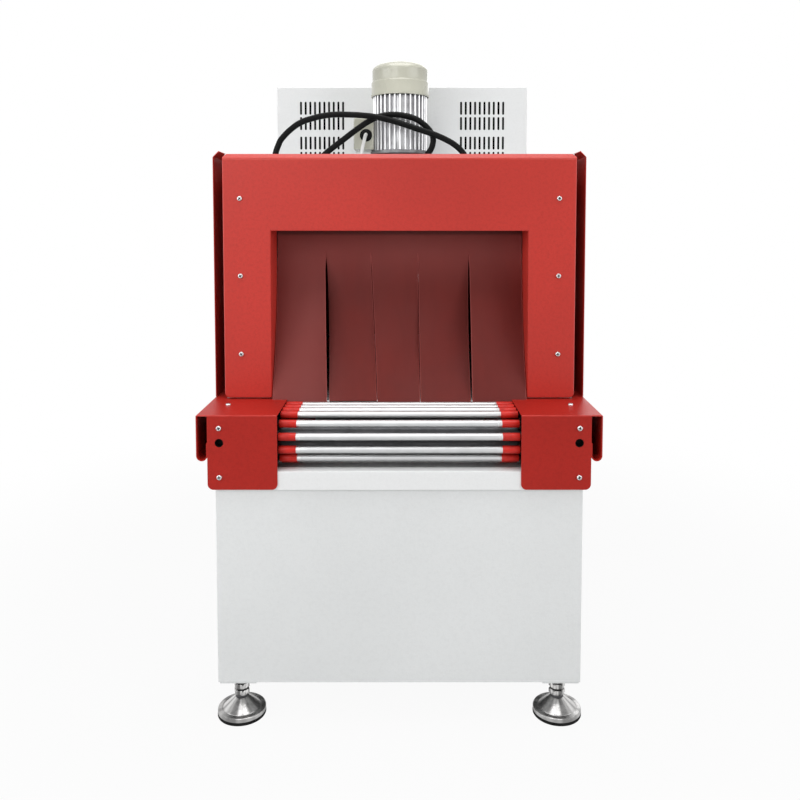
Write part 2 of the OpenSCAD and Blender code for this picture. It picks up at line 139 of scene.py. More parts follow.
class Wire:
    """An output socket of a node sheet; arithmetic on it adds Math nodes."""

    __add__, __radd__ = math_method("ADD"), math_method("ADD", True)
    __mul__, __rmul__ = math_method("MULTIPLY"), math_method("MULTIPLY", True)
    __sub__, __rsub__ = math_method("SUBTRACT"), math_method("SUBTRACT", True)
    __pow__, __rpow__ = math_method("POWER"), math_method("POWER", True)
    sine, size = math_method("SINE"), math_method("ABSOLUTE")
    angle, most = math_method("ARCTAN2"), math_method("MAXIMUM")

    def __init__(self, sheet: "NodeSheet", socket: Socket) -> None:
        """Keeps the sheet and the socket that carries the value."""
        self.sheet = sheet
        self.socket = socket

    def step(self, low: float, high: float) -> "Wire":
        """Smooth step from 0 at low to 1 at high."""
        ends = {"Value": self, "From Min": low, "From Max": high}
        return self.sheet.node("ShaderNodeMapRange", {"interpolation_type": "SMOOTHSTEP"}, ends)


Term = Union[Wire, float, int]
Options = Optional[Dict[Any, Any]]


class NodeSheet:
    """A node tree and the one way of adding nodes to it."""

    def __init__(self, tree: bpy.types.NodeTree) -> None:
        """Takes a tree over and empties it."""
        self.tree = tree
        self.tree.nodes.clear()

    def add(self, kind: str, settings: Options = None, sockets: Options = None) -> bpy.types.Node:
        """Adds a node.

        Args:
            kind: Blender's type name.
            settings: properties of the node, set first.
            sockets: values or wires of the inputs, by name or number.

        Returns:
            The node.
        """
        made = self.tree.nodes.new(kind)
        for key, value in (settings or {}).items():
            setattr(made, key, value)
        for key, value in (sockets or {}).items():
            self.feed(made.inputs[key], value)
        return made

    def node(
        self, kind: str, settings: Options = None, sockets: Options = None, out: Union[int, str] = 0
    ) -> Wire:
        """Adds a node as add does, and gives the wire of the output with the name or number out."""
        return Wire(self, self.add(kind, settings, sockets).outputs[out])

    def feed(self, socket: Socket, value: Any) -> None:
        """Links a wire to a socket, or sets the socket's own value.

        Args:
            socket: the input socket.
            value: the wire or the value.
        """
        if isinstance(value, Wire):
            self.tree.links.new(value.socket, socket)
        else:
            socket.default_value = value

    def end(self, kind: str, last: Wire) -> None:
        """Adds the tree's output node of a kind and feeds it."""
        self.add(kind, {}, {0: last})


class ShaderSheet(NodeSheet):
    """One material's node tree with a Principled shader."""

    def __init__(self, name: str) -> None:
        """Starts a material called name.

        Args:
            name: the material's name.
        """
        self.material = bpy.data.materials.new(name)
        self.material.use_nodes = True
        super().__init__(self.material.node_tree)
        shader = self.add("ShaderNodeBsdfPrincipled")
        self.inputs = shader.inputs
        self.end("ShaderNodeOutputMaterial", Wire(self, shader.outputs[0]))

    def here(self) -> Wire:
        """Object coordinates in metres."""
        return self.node("ShaderNodeTexCoord", out="Object")

    def place(self, scale: Point = (1.0, 1.0, 1.0)) -> Wire:
        """Object coordinates, scaled by axis."""
        return self.node("ShaderNodeMapping", {"vector_type": "POINT"}, {"Vector": self.here(), "Scale": scale})

    def split(self, vector: Wire) -> List[Wire]:
        """Wires of a vector's x, y and z."""
        parts = self.add("ShaderNodeSeparateXYZ", {}, {"Vector": vector})
        return [Wire(self, part) for part in parts.outputs]

    def noise(self, scale: float, detail: float = 2.0, at: Optional[Wire] = None, rough: float = 0.5) -> Wire:
        """Noise value of about 0.3 to 0.7, with features of 1 / scale metres."""
        sockets = {"Vector": at or self.place(), "Scale": scale, "Detail": detail, "Roughness": rough}
        return self.node("ShaderNodeTexNoise", {}, sockets)

    def mix(self, factor: Term, first: Any, second: Any) -> Wire:
        """Colour mix of first and second by factor."""
        return self.node("ShaderNodeMix", {"data_type": "RGBA"}, {0: factor, 6: first, 7: second}, 2)

    def attribute(self, name: str) -> Wire:
        """Number stored on the mesh under name; 0 where a mesh has none."""
        settings = {"attribute_type": "GEOMETRY", "attribute_name": name}
        return self.node("ShaderNodeAttribute", settings, {}, "Fac")

    def bump(self, height: Wire, distance: float) -> None:
        """Feeds the shader's normal from a height, with a relief of distance metres."""
        sockets = {"Height": height, "Distance": distance, "Strength": 1.0}
        self.set(Normal=self.node("ShaderNodeBump", {}, sockets))

    def set(self, **values: Any) -> None:
        """Feeds the shader's sockets; an underscore in a name stands for a space."""
        for key, value in values.items():
            self.feed(self.inputs[key.replace("_", " ")], value)


# Finishes


@dataclass(frozen=True)
class Finish:
    """A surface, built as a material when it is first used."""

    name: str
    colour: Colour

    def tone(self, gain: float) -> Tuple[float, ...]:
        """The finish's colour times a gain, with an alpha of 1."""
        return shade(self.colour, gain)

    def draw(self, s: ShaderSheet) -> None:
        """Adds the surface's nodes to a sheet."""
        raise NotImplementedError

    @lru_cache(maxsize=None)
    def material(self) -> bpy.types.Material:
        """The finish's material, built once.

        Returns:
            The material.
        """
        sheet = ShaderSheet(self.name)
        self.draw(sheet)
        return sheet.material


@dataclass(frozen=True)
class PowderCoat(Finish):
    """Baked paint with a fine pebbled skin, paler along folded edges: partly thinner paint, partly a painted
    highlight on the folds.
    """

    rough: float = 0.48
    pebble: float = 0.00024
    wear_and_highlight: float = 0.35
    mottle: float = 0.06
    grain: float = 0.24
    shine: float = 0.22

    def draw(self, s: ShaderSheet) -> None:
        """Adds the paint's nodes.

        Args:
            s: the material's sheet.
        """
        cloud = s.noise(2.3, 3.0).step(0.25, 0.75)
        ripple = s.noise(150.0, 3.0, rough=0.6)
        speck = s.noise(330.0, 3.0, rough=0.6)
        fine = s.noise(1150.0, 2.0)
        edge = s.attribute("edge") * (0.4 + 0.5 * s.noise(70.0, 4.0).step(0.3, 0.7))
        skin = s.mix(cloud, self.tone(1 - self.mottle), self.tone(1 + self.mottle))
        skin = s.mix(ripple.step(0.42, 0.7) * self.grain, skin, self.tone(0.62))
        skin = s.mix(speck.step(0.45, 0.72) * self.grain, skin, self.tone(0.72))
        skin = s.mix(fine.step(0.5, 0.75) * self.grain * 0.7, skin, self.tone(1.35))
        # Paler rounded folds: partly thinner paint, partly a painted highlight along the folds.
        skin = s.mix(edge * self.wear_and_highlight, skin, shade([min(c * 1.35 + 0.03, 0.93) for c in self.colour]))
        rough = self.rough + 0.1 * (cloud - 0.5) + 0.14 * (speck - 0.5) - 0.14 * edge
        s.set(Base_Color=skin, Roughness=rough, Specular_IOR_Level=self.shine)
        s.bump(ripple * 0.9 + speck * 0.7 + fine * 0.5, self.pebble)


@dataclass(frozen=True)
class GlossPaint(Finish):
    """Smooth sprayed paint with faint dust in it."""

    rough: float = 0.28

    def draw(self, s: ShaderSheet) -> None:
        """Adds the paint's nodes.

        Args:
            s: the material's sheet.
        """
        cloud = s.noise(9.0, 4.0).step(0.3, 0.7)
        dust = s.noise(420.0, 2.0).step(0.58, 0.75)
        edge = s.attribute("edge") * s.noise(160.0, 3.0).step(0.4, 0.6)
        skin = s.mix(cloud, self.tone(0.93), self.tone(1.04))
        skin = s.mix(dust * 0.12, skin, self.tone(0.7))
        skin = s.mix(edge * 0.25, skin, (0.9, 0.9, 0.86, 1.0))
        s.set(Base_Color=skin, Roughness=self.rough + 0.12 * cloud, Coat_Weight=0.25)
        s.bump(s.noise(60.0, 2.0) + dust * 0.3, 0.00012)


@dataclass(frozen=True)
class DrawnSteel(Finish):
    """Bright steel with fine lines along one axis and smudges from handling, and painted shade: near black
    where the mesh marks it.
    """

    along: Point = (6.0, 700.0, 700.0)
    rough: float = 0.24
    smudge: float = 0.14

    def draw(self, s: ShaderSheet) -> None:
        """Adds the steel's nodes.

        Args:
            s: the material's sheet.
        """
        lines = s.noise(1.0, 4.0, s.place(self.along), 0.6)
        cloud = s.noise(26.0, 4.0).step(0.35, 0.7)
        hollow = s.attribute("hollow")
        skin = s.mix(lines, self.tone(0.82), self.tone(1.12))
        skin = s.mix(cloud * 0.3, skin, self.tone(0.7))
        # Painted shade: near black on the marked faces, the rod ends under the guards and the screws' cross
        # recesses.
        skin = s.mix(hollow, skin, (0.012, 0.012, 0.013, 1.0))
        rough = self.rough + 0.16 * (lines - 0.5) + self.smudge * cloud + 0.2 * hollow
        s.set(Base_Color=skin, Metallic=1.0, Roughness=rough)
        s.bump(lines, 0.00002)


@dataclass(frozen=True)
class TurnedSteel(Finish):
    """Polished stainless with the rings that turning leaves, a painted fan of glints and dark reflections round
    the axis, and painted shade that darkens the foot's rim.
    """

    centre: Pair
    pitch: float = 0.0009
    rim: Pair = (0.034, 0.038)

    def draw(self, s: ShaderSheet) -> None:
        """Adds the steel's nodes.

        Args:
            s: the material's sheet.
        """
        across = [axis.size() - middle for axis, middle in zip(s.split(s.here()), self.centre)]
        radius = (across[0] * across[0] + across[1] * across[1]) ** 0.5
        rings = (radius * (2 * math.pi / self.pitch) + s.noise(90.0, 2.0) * 0.8).sine() * 0.5 + 0.5
        cloud = s.noise(60.0, 4.0).step(0.4, 0.7)
        about = across[1].angle(across[0])
        # Painted reflections: a fan of glints and dark reflections by the angle round the axis.
        fan = (about * 3 + 0.9).sine() * 0.45 + (about * 7 + 2.2).sine() * 0.3 + (about * 13).sine() * 0.2
        skin = s.mix(fan.step(-0.5, 0.55), self.tone(0.26), self.tone(1.6))
        skin = s.mix(rings * 0.35, skin, self.tone(0.8))
        skin = s.mix(cloud * 0.25, skin, self.tone(0.62))
        # Painted shade: the foot's rim darker.
        skin = s.mix(radius.step(*self.rim) * 0.42, skin, self.tone(0.42))
        s.set(Base_Color=skin, Metallic=1.0, Roughness=0.2 + 0.08 * rings + 0.14 * cloud)
        s.bump(rings, 0.00003)


@dataclass(frozen=True)
class CastMetal(Finish):
    """Die-cast alloy: soft grain, darker where grime gathers."""

    rough: float = 0.38
    metal: float = 1.0
    grain: float = 0.0002
    grime: float = 0.35

    def draw(self, s: ShaderSheet) -> None:
        """Adds the casting's nodes.

        Args:
            s: the material's sheet.
        """
        grain = s.noise(520.0, 3.0, rough=0.6)
        cloud = s.noise(34.0, 4.0).step(0.42, 0.74)
        skin = s.mix(grain, self.tone(0.86), self.tone(1.1))
        skin = s.mix(cloud * self.grime, skin, self.tone(0.45))
        s.set(Base_Color=skin, Metallic=self.metal, Roughness=self.rough + 0.2 * (grain - 0.5) + 0.15 * cloud)
        s.bump(grain, self.grain)


@dataclass(frozen=True)
class ZincSheet(Finish):
    """Galvanised sheet with its frosted crystal pattern."""

    crystal: float = 90.0

    def draw(self, s: ShaderSheet) -> None:
        """Adds the sheet's nodes.

        Args:
            s: the material's sheet.
        """
        sockets = {"Vector": s.place(), "Scale": self.crystal, "Randomness": 0.9}
        cells = s.node("ShaderNodeTexVoronoi", {}, sockets, "Color")
        tint = s.node("ShaderNodeSeparateColor", {}, {"Color": cells})
        dirt = s.noise(12.0, 4.0).step(0.45, 0.75)
        skin = s.mix(tint, self.tone(0.92), self.tone(1.06))
        skin = s.mix(dirt * 0.4, skin, self.tone(0.6))
        s.set(Base_Color=skin, Metallic=0.85, Roughness=0.36 + 0.16 * tint + 0.12 * dirt)
        s.bump(s.noise(300.0, 2.0), 0.00008)


@dataclass(frozen=True)
class SoftPlastic(Finish):
    """Moulded or extruded plastic and rubber, dull, with scuffs."""

    rough: float = 0.5
    scuff: float = 0.3
    grain: float = 0.0001
    pale: Colour = (0.6, 0.58, 0.55)
    shine: float = 0.4

    def draw(self, s: ShaderSheet) -> None:
        """Adds the plastic's nodes.

        Args:
            s: the material's sheet.
        """
        cloud = s.noise(48.0, 4.0).step(0.4, 0.72)
        grain = s.noise(900.0, 2.0)
        scrape = s.noise(1.0, 3.0, s.place((40.0, 420.0, 420.0))).step(0.6, 0.74)
        skin = s.mix(cloud, self.tone(1.06), self.tone(0.76))
        skin = s.mix(scrape * self.scuff, skin, shade(self.pale))
        rough = self.rough + 0.16 * cloud + 0.1 * (grain - 0.5)
        s.set(Base_Color=skin, Roughness=rough, Specular_IOR_Level=self.shine)
        s.bump(grain + scrape * 0.4, self.grain)


@dataclass(frozen=True)
class CoatedCloth(Finish):
    """Woven glass cloth with a dull coating, with a painted sheen that makes it paler to the left, a painted
    lift of light towards the top and a painted shadow line at the very top; its weave follows the flat map in
    metres.
    """

    thread: float = 0.0016

    def draw(self, s: ShaderSheet) -> None:
        """Adds the cloth's nodes.

        Args:
            s: the material's sheet.
        """
        across, up, _ = s.split(s.node("ShaderNodeUVMap", {"uv_map": "cut"}))
        turns = 2 * math.pi / self.thread
        weave = (across * turns).sine() * (up * turns).sine() * 0.5 + 0.5
        cloud = s.noise(7.0, 4.0).step(0.3, 0.72)
        streak = s.noise(1.0, 4.0, s.place((60.0, 60.0, 5.0))).step(0.42, 0.7)
        sheen_and_fray_tone = [c * 1.45 + 0.03 for c in self.colour]
        skin = s.mix(cloud, self.tone(0.9), self.tone(1.1))
        skin = s.mix(streak * 0.22, skin, self.tone(0.7))
        skin = s.mix(weave * 0.16, skin, self.tone(1.5))
        # Painted sheen: paler to the left.
        skin = s.mix(across.step(-0.1, -0.2) * 0.7, skin, shade(sheen_and_fray_tone))
        # Painted light: paler towards the top, lifting the lintel's shade.
        skin = s.mix(up.step(0.82, 0.95) * 0.75, skin, shade(sheen_and_fray_tone, 1.15))
        # Painted shadow: a dark line at the very top, under the lintel.
        skin = s.mix(up.step(0.94, 0.949) * 0.75, skin, self.tone(0.3))
        skin = s.mix(s.attribute("fray") * 0.85, skin, shade(sheen_and_fray_tone, 1.9))
        s.set(Base_Color=skin, Roughness=0.62 + 0.12 * cloud, Specular_IOR_Level=0.3)
        s.bump(weave + cloud * 0.6, 0.0002)


WHITE_COAT = PowderCoat("cabinet paint", linear(236, 238, 238), rough=0.46, wear_and_highlight=0.25, mottle=0.035, grain=0.06)
SILL_COAT = PowderCoat("sill paint", linear(246, 247, 247), rough=0.4, wear_and_highlight=0.2, mottle=0.012, grain=0.04)
BOX_COAT = PowderCoat("control box paint", linear(228, 229, 229), 0.46, wear_and_highlight=0.2, mottle=0.015, grain=0.05)
HOOD_COAT = PowderCoat("hood paint", linear(193, 51, 41), rough=0.44, wear_and_highlight=0.2, mottle=0.1, shine=0.4)
GUARD_COAT = PowderCoat("guard paint", linear(174, 36, 27), rough=0.44, wear_and_highlight=0.7, mottle=0.1, shine=0.24)
SHIELD_COAT = PowderCoat("shield paint", linear(172, 34, 26), wear_and_highlight=0.7, mottle=0.1, shine=0.12)
BEIGE_PAINT = GlossPaint("motor paint", linear(184, 183, 168), 0.22)
ROD_STEEL = DrawnSteel("rod steel", (0.62, 0.625, 0.63), (5.0, 420.0, 420.0), 0.4, 0.06)
SCREW_STEEL = DrawnSteel("screw steel", (0.7, 0.71, 0.72), (300.0, 300.0, 300.0), 0.26)
LINER_STEEL = DrawnSteel("liner steel", (0.42, 0.41, 0.4), (3.0, 160.0, 160.0), 0.4, 0.2)
ALLOY = CastMetal("motor alloy", (0.78, 0.78, 0.79), 0.32, 1.0, 0.00015, 0.2)
STAND_ALLOY = CastMetal("stand alloy", (0.2, 0.2, 0.205), 0.46)
# Painted shade: darker than the ribs' alloy, for the shade in the gaps between the ribs.
CORE_ALLOY = CastMetal("core alloy", (0.52, 0.52, 0.53), 0.36)
DARK_STEEL = CastMetal("drive steel", (0.09, 0.09, 0.095), 0.42, 0.9, 0.0002, 0.5)
CHAIN_STEEL = CastMetal("chain steel", (0.14, 0.135, 0.13), 0.36, 0.95, 0.0001, 0.5)
ROOF_ZINC = ZincSheet("roof zinc", (0.6, 0.61, 0.62))
# Painted shade: near black for the inside of the control box.
BOX_INSIDE_SHADE = SoftPlastic("box inside", (0.006, 0.006, 0.006), 0.85, 0.0, shine=0.05)
SLEEVE_RED = SoftPlastic("sleeve plastic", linear(204, 33, 22), 0.4, 0.04)
PAD_RUBBER = SoftPlastic("pad rubber", (0.006, 0.006, 0.006), 0.8, 0.02, shine=0.2)
CABLE_SKIN = SoftPlastic("cable sheath", (0.004, 0.004, 0.004), 0.42, 0.0, shine=0.1)
GLAND_SKIN = SoftPlastic("gland plastic", (0.006, 0.006, 0.006), 0.5, 0.0, shine=0.1)
LEAD_SKIN = SoftPlastic("lead sheath", (0.72, 0.72, 0.7), 0.45, 0.05)
CLOTH = CoatedCloth("curtain cloth", linear(106, 34, 29))

# Mesh helpers


def put(name: str, data: bpy.types.ID) -> Object:
    """Makes an object of some data and links it to the scene.

    Args:
        name: the object's name.
        data: its mesh, curve, light or camera.

    Returns:
        The object.
    """
    made = bpy.data.objects.new(name, data)
    bpy.context.scene.collection.objects.link(made)
    return made


def piece(name: str, mesh: Mesh, finish: Finish, slot: str, *nodes: str) -> Object:
    """Makes a finished piece of the object.

    Args:
        name: the piece's name.
        mesh: its mesh, already in place.
        finish: what its surface is.
        slot: the record's material slot.
        nodes: CAD nodes that the piece stands for.

    Returns:
        The piece, riding on the machine's body.
    """
    mesh.materials.clear()
    mesh.materials.append(finish.material())
    return declare(put(name, mesh), slot, *nodes)


def declare(made: Object, slot: str, *nodes: str) -> Object:
    """Gives a piece its body, hides the CAD nodes that it stands for, and logs it.

    Args:
        made: the piece.
        slot: the record's material slot; not used.
        nodes: CAD nodes that it stands for.

    Returns:
        The same piece.
    """
    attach(made, "root")
    if nodes:
        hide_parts(*nodes)
    LOG.info("%s, for %s", made.name, ", ".join(nodes) or "the scene alone")
    return made


def smooth(mesh: Mesh, angle: float) -> Mesh:
    """Shades a mesh smooth, apart from edges sharper than an angle in degrees.

    Args:
        mesh: the mesh.
        angle: edges sharper than this stay sharp, in degrees.

    Returns:
        The same mesh.
    """
    for face in mesh.polygons:
        face.use_smooth = True
    mesh.set_sharp_from_angle(angle=math.radians(angle))
    return mesh


def to_mesh(name: str, bm: BMesh, angle: float = SMOOTH) -> Mesh:
    """Turns a bmesh into a mesh with its faces outwards.

    Args:
        name: the mesh's name.
        bm: the bmesh, which is freed.
        angle: edges sharper than this stay sharp, in degrees.

    Returns:
        The mesh.
    """
    bmesh.ops.recalc_face_normals(bm, faces=bm.faces)
    mesh = bpy.data.meshes.new(name)
    bm.to_mesh(mesh)
    bm.free()
    return smooth(mesh, angle)


def baked(carrier: Object, name: str, angle: float) -> Mesh:
    """Takes an object's mesh as its modifiers leave it, and removes the object.

    Args:
        carrier: the object.
        name: the new mesh's name.
        angle: edges sharper than this stay sharp, in degrees.

    Returns:
        The mesh.
    """
    bpy.context.view_layer.update()
    graph = bpy.context.evaluated_depsgraph_get()
    made = bpy.data.meshes.new_from_object(carrier.evaluated_get(graph))
    made.name = name
    bpy.data.objects.remove(carrier)
    return smooth(made, angle)


def lathe(bm: BMesh, profile: Sequence[Pair], sides: int, place: Matrix = HERE) -> None:
    """Adds a turned shape: radius and height pairs swept round the local z axis.

    Args:
        bm: where the shape goes.
        profile: radius and height pairs from one end to the other; a radius of 0 closes an end.
        sides: facets round the axis.
        place: the shape's place.
    """
    rings: List[List[BMVert]] = []
    for radius, height in profile:
        count = 1 if radius < 1e-7 else sides
        corners = [polar(radius, 2 * math.pi * k / sides) for k in range(count)]
        rings.append([bm.verts.new(place @ Vector((x, y, height))) for x, y in corners])
    stack(bm, rings)
    if profile[0] == profile[-1]:
        bmesh.ops.remove_doubles(bm, verts=rings[0] + rings[-1], dist=1e-7)


def turned(name: str, profile: Sequence[Pair], sides: int, place: Matrix = HERE, angle: float = SMOOTH) -> Mesh:
    """Makes a mesh of one turned shape.

    Args:
        name: the mesh's name.
        profile, sides, place: what lathe takes.
        angle: edges sharper than this stay sharp, in degrees.

    Returns:
        The mesh.
    """
    bm = bmesh.new()
    lathe(bm, profile, sides, place)
    return to_mesh(name, bm, angle)


def mirrored(half: Sequence[Pair]) -> List[Pair]:
    """Whole profile of a turned shape from the half at positive heights."""
    return [(radius, -height) for radius, height in reversed(half)] + list(half)


def stack(bm: BMesh, rings: Sequence[Sequence[BMVert]]) -> None:
    """Joins each ring of points to the next one with faces; a ring of one point makes a fan.

    Args:
        bm: where the faces go.
        rings: the rings in order, each with as many points as the others or with one.
    """
    for low, high in zip(rings, rings[1:]):
        count = max(len(low), len(high))
        for k in range(count if count > 1 else 0):
            n = (k + 1) % count
            if len(low) == 1:
                bm.faces.new((low[0], high[n], high[k]))
            elif len(high) == 1:
                bm.faces.new((low[k], low[n], high[0]))
            else:
                bm.faces.new((low[k], low[n], high[n], high[k]))


def prism(bm: BMesh, outline: Sequence[Pair], low: float, high: float, place: Matrix = HERE) -> None:
    """Adds a closed bar: an outline in local x and y between two heights.

    Args:
        bm: where the bar goes.
        outline: the outline's corners in order.
        low, high: its ends on the local z axis.
        place: the bar's place.
    """
    rings = [[bm.verts.new(place @ Vector((x, y, z))) for x, y in outline] for z in (low, high)]
    stack(bm, rings)
    for ring in rings:
        bm.faces.new(ring)


def soften(
    node: str, fold: float, shortest: float = 0.008, sharp: float = 40.0, rim: float = 0.0005,
    only: Optional[Callable[[Vector], bool]] = None,
) -> Mesh:
    """Copies a CAD node with its edges rounded, as folded or deburred sheet has them.

    Args:
        node: the CAD node.
        fold: width of the rounding where two broad faces meet, in metres.
        shortest: edges shorter than this are left alone.
        sharp: edges that turn by less than this are left alone, in degrees.
        rim: width of the rounding along a sheet's cut edges.
        only: tells from an edge's ends whether it is a fold, so that folds round corners count too.

    Returns:
        The mesh, with the number "edge" set to 1 on the rounded faces.
    """
    bm = bmesh.new()
    bm.from_mesh(frame["nodes"][node].data)
    bmesh.ops.remove_doubles(bm, verts=bm.verts, dist=2e-6)
    bmesh.ops.dissolve_limit(
        bm, angle_limit=math.radians(0.6), verts=bm.verts, edges=bm.edges, delimit=set(),
        use_dissolve_boundaries=False,
    )
    wear_and_highlight = bm.faces.layers.float.new("edge")

    def crisp(edge: BMEdge) -> bool:
        """Tells whether an edge is sharp and not yet rounded."""
        return (len(edge.link_faces) == 2 and edge.calc_face_angle(0.0) > math.radians(sharp)
                and not any(f[wear_and_highlight] for f in edge.link_faces))

    def is_fold(edge: BMEdge) -> bool:
        """Tells whether an edge is one of the sheet's folds, with two faces much wider than the rounding."""
        broad = all(f.calc_area() > 3 * fold * edge.calc_length() for f in edge.link_faces)
        return broad and (all(only(v.co) for v in edge.verts) if only else edge.calc_length() > shortest)

    def is_rim(edge: BMEdge) -> bool:
        """Tells whether an edge is one of the sheet's cut edges."""
        return edge.calc_length() > shortest

    for width, fits in ((fold, is_fold), (rim, is_rim)):
        chosen = [e for e in bm.edges if crisp(e) and fits(e)]
        if not chosen:
            continue
        made = bmesh.ops.bevel(
            bm, geom=chosen, offset=width, offset_type="OFFSET", segments=3, profile=0.5, affect="EDGES",
            clamp_overlap=only is None or fits is is_rim,
        )
        for face in made["faces"]:
            face[wear_and_highlight] = 1.0
    for face in bm.faces:
        face.smooth = face[wear_and_highlight] > 0.5
    mesh = bpy.data.meshes.new(node + "_folded")
    bm.to_mesh(mesh)
    bm.free()
    return mesh


def line_with(made: Object, finish: Finish, inside: Callable[[Vector], bool]) -> None:
    """Gives part of a piece a second finish.

    Args:
        made: the piece.
        finish: what that part's surface is.
        inside: tells from a face's centre whether the face belongs to the part.
    """
    made.data.materials.append(finish.material())
    for face in made.data.polygons:
        if inside(face.center):
            face.material_index = 1


def folded(nodes: Iterable[str], fold: float, finish: Finish, slot: str, **options: Any) -> List[Object]:
    """Replaces CAD nodes by copies with rounded edges.

    Args:
        nodes: the CAD nodes.
        fold: width of the rounding, in metres.
        finish: what their surface is.
        slot: the record's material slot.
        options: what else soften takes.

    Returns:
        The pieces.
    """
    return [piece("dressed_" + node, soften(node, fold, **options), finish, slot, node) for node in nodes]


# Geometry node trees


class GeoTree(NodeSheet):
    """A geometry node tree with named inputs that ends in realised instances and a material."""

    def __init__(self, name: str, **inputs: str) -> None:
        """Starts a tree.

        Args:
            name: the tree's name.
            inputs: socket type of each named input, without the words that all types start with.
        """
        super().__init__(bpy.data.node_groups.new(name, "GeometryNodeTree"))
        self.ids: Dict[str, str] = {}
        for label, kind in {"Geometry": "Geometry", **inputs, "Finish": "Material"}.items():
            made = self.tree.interface.new_socket(name=label, in_out="INPUT", socket_type="NodeSocket" + kind)
            self.ids[label] = made.identifier
        self.tree.interface.new_socket(name="Geometry", in_out="OUTPUT", socket_type="NodeSocketGeometry")
        self.entry = self.add("NodeGroupInput")

    def of(self, label: str) -> Wire:
        """The wire of a named input."""
        return Wire(self, self.entry.outputs[label])

    def close(self, geometry: Wire) -> "GeoTree":
        """Closes the tree: realised instances, then the material.

        Args:
            geometry: the wire of what the tree has made.

        Returns:
            The same tree.
        """
        real = self.node("GeometryNodeRealizeInstances", {}, {"Geometry": geometry})
        sockets = {"Geometry": real, "Material": self.of("Finish")}
        self.end("NodeGroupOutput", self.node("GeometryNodeSetMaterial", {}, sockets))
        return self

    def run(
        self, name: str, finish: Finish, base: Optional[Mesh] = None, angle: float = SMOOTH, **values: Any
    ) -> Mesh:
        """Runs the tree once and gives a plain mesh.

        Args:
            name: the mesh's name.
            finish: the material that the tree sets.
            base: the mesh that the tree starts from, empty where none is given.
            angle: edges sharper than this stay sharp, in degrees.
            values: the named inputs.

        Returns:
            The result, with its doubles kept apart.
        """
        carrier = put(name + "_carrier", base or bpy.data.meshes.new(name + "_base"))
        modifier = carrier.modifiers.new("shape", "NODES")
        modifier.node_group = self.tree
        for key, value in {**values, "Finish": finish.material()}.items():
            modifier[self.ids[key]] = value
        return baked(carrier, name, angle)


@lru_cache(maxsize=None)
def stamp_tree() -> GeoTree:
    """Tree that repeats a shape on points: its z axis follows "facing", and it is turned by "turn".

    Returns:
        The tree, built once.
    """
    t = GeoTree("Repeat on points", Shape="Object")
    source = {"Object": t.of("Shape")}
    shape = t.node("GeometryNodeObjectInfo", {"transform_space": "ORIGINAL"}, source, "Geometry")
    facing, turn = (
        t.node("GeometryNodeInputNamedAttribute", {"data_type": kind}, {"Name": name})
        for name, kind in (("facing", "FLOAT_VECTOR"), ("turn", "FLOAT"))
    )
    look = t.node("FunctionNodeAlignRotationToVector", {"axis": "Z"}, {"Vector": facing})
    spin = t.node("FunctionNodeAxisAngleToRotation", {}, {"Axis": UP, "Angle": turn})
    sockets = {"Rotation": look, "Rotate By": spin}
    both = t.node("FunctionNodeRotateRotation", {"rotation_space": "LOCAL"}, sockets)
    sockets = {"Points": t.of("Geometry"), "Instance": shape, "Rotation": both}
    return t.close(t.node("GeometryNodeInstanceOnPoints", {}, sockets))


@lru_cache(maxsize=None)
def rib_tree() -> GeoTree:
    """Tree that makes a ring of upright ribs with rounded tips.

    Returns:
        The tree, built once.
    """
    sizes = ("Middle", "Depth", "Thickness", "Height", "Floor")
    t = GeoTree("Ring of ribs", Count="Int", **dict.fromkeys(sizes, "Float"))
    sockets = {"Width": t.of("Depth"), "Height": t.of("Thickness")}
    section = t.node("GeometryNodeCurvePrimitiveQuadrilateral", {}, sockets)
    sockets = {"Curve": section, "Radius": t.of("Thickness") * 0.45, "Count": 3}
    rounded = t.node("GeometryNodeFilletCurve", {"mode": "POLY"}, sockets)
    floor, top = (
        t.node("ShaderNodeCombineXYZ", {}, {"Z": z}) for z in (t.of("Floor"), t.of("Floor") + t.of("Height"))
    )
    line = t.node("GeometryNodeCurvePrimitiveLine", {}, {"Start": floor, "End": top})
    rib = t.node("GeometryNodeCurveToMesh", {}, {"Curve": line, "Profile Curve": rounded, "Fill Caps": True})
    ring = t.node("GeometryNodeMeshCircle", {}, {"Vertices": t.of("Count"), "Radius": t.of("Middle")})
    here = t.node("GeometryNodeInputPosition")
    look = t.node("FunctionNodeAlignRotationToVector", {"axis": "X", "pivot_axis": "Z"}, {"Vector": here})
    sockets = {"Points": ring, "Instance": rib, "Rotation": look}
    return t.close(t.node("GeometryNodeInstanceOnPoints", {}, sockets))


@lru_cache(maxsize=None)
def thread_tree() -> GeoTree:
    """Tree that makes a screw thread: a sharp ridge wound round the z axis.

    Returns:
        The tree, built once.
    """
    t = GeoTree("Screw thread", **dict.fromkeys(("Turns", "Radius", "Height", "Ridge"), "Float"))
    sockets = {"Resolution": 24, "Rotations": t.of("Turns"), "Start Radius": t.of("Radius"),
               "End Radius": t.of("Radius"), "Height": t.of("Height")}
    wind = t.node("GeometryNodeCurveSpiral", {}, sockets)
    ridge = t.node("GeometryNodeCurvePrimitiveCircle", {}, {"Resolution": 4, "Radius": t.of("Ridge")})
    sockets = {"Curve": wind, "Profile Curve": ridge, "Fill Caps": True}
    return t.close(t.node("GeometryNodeCurveToMesh", {}, sockets))


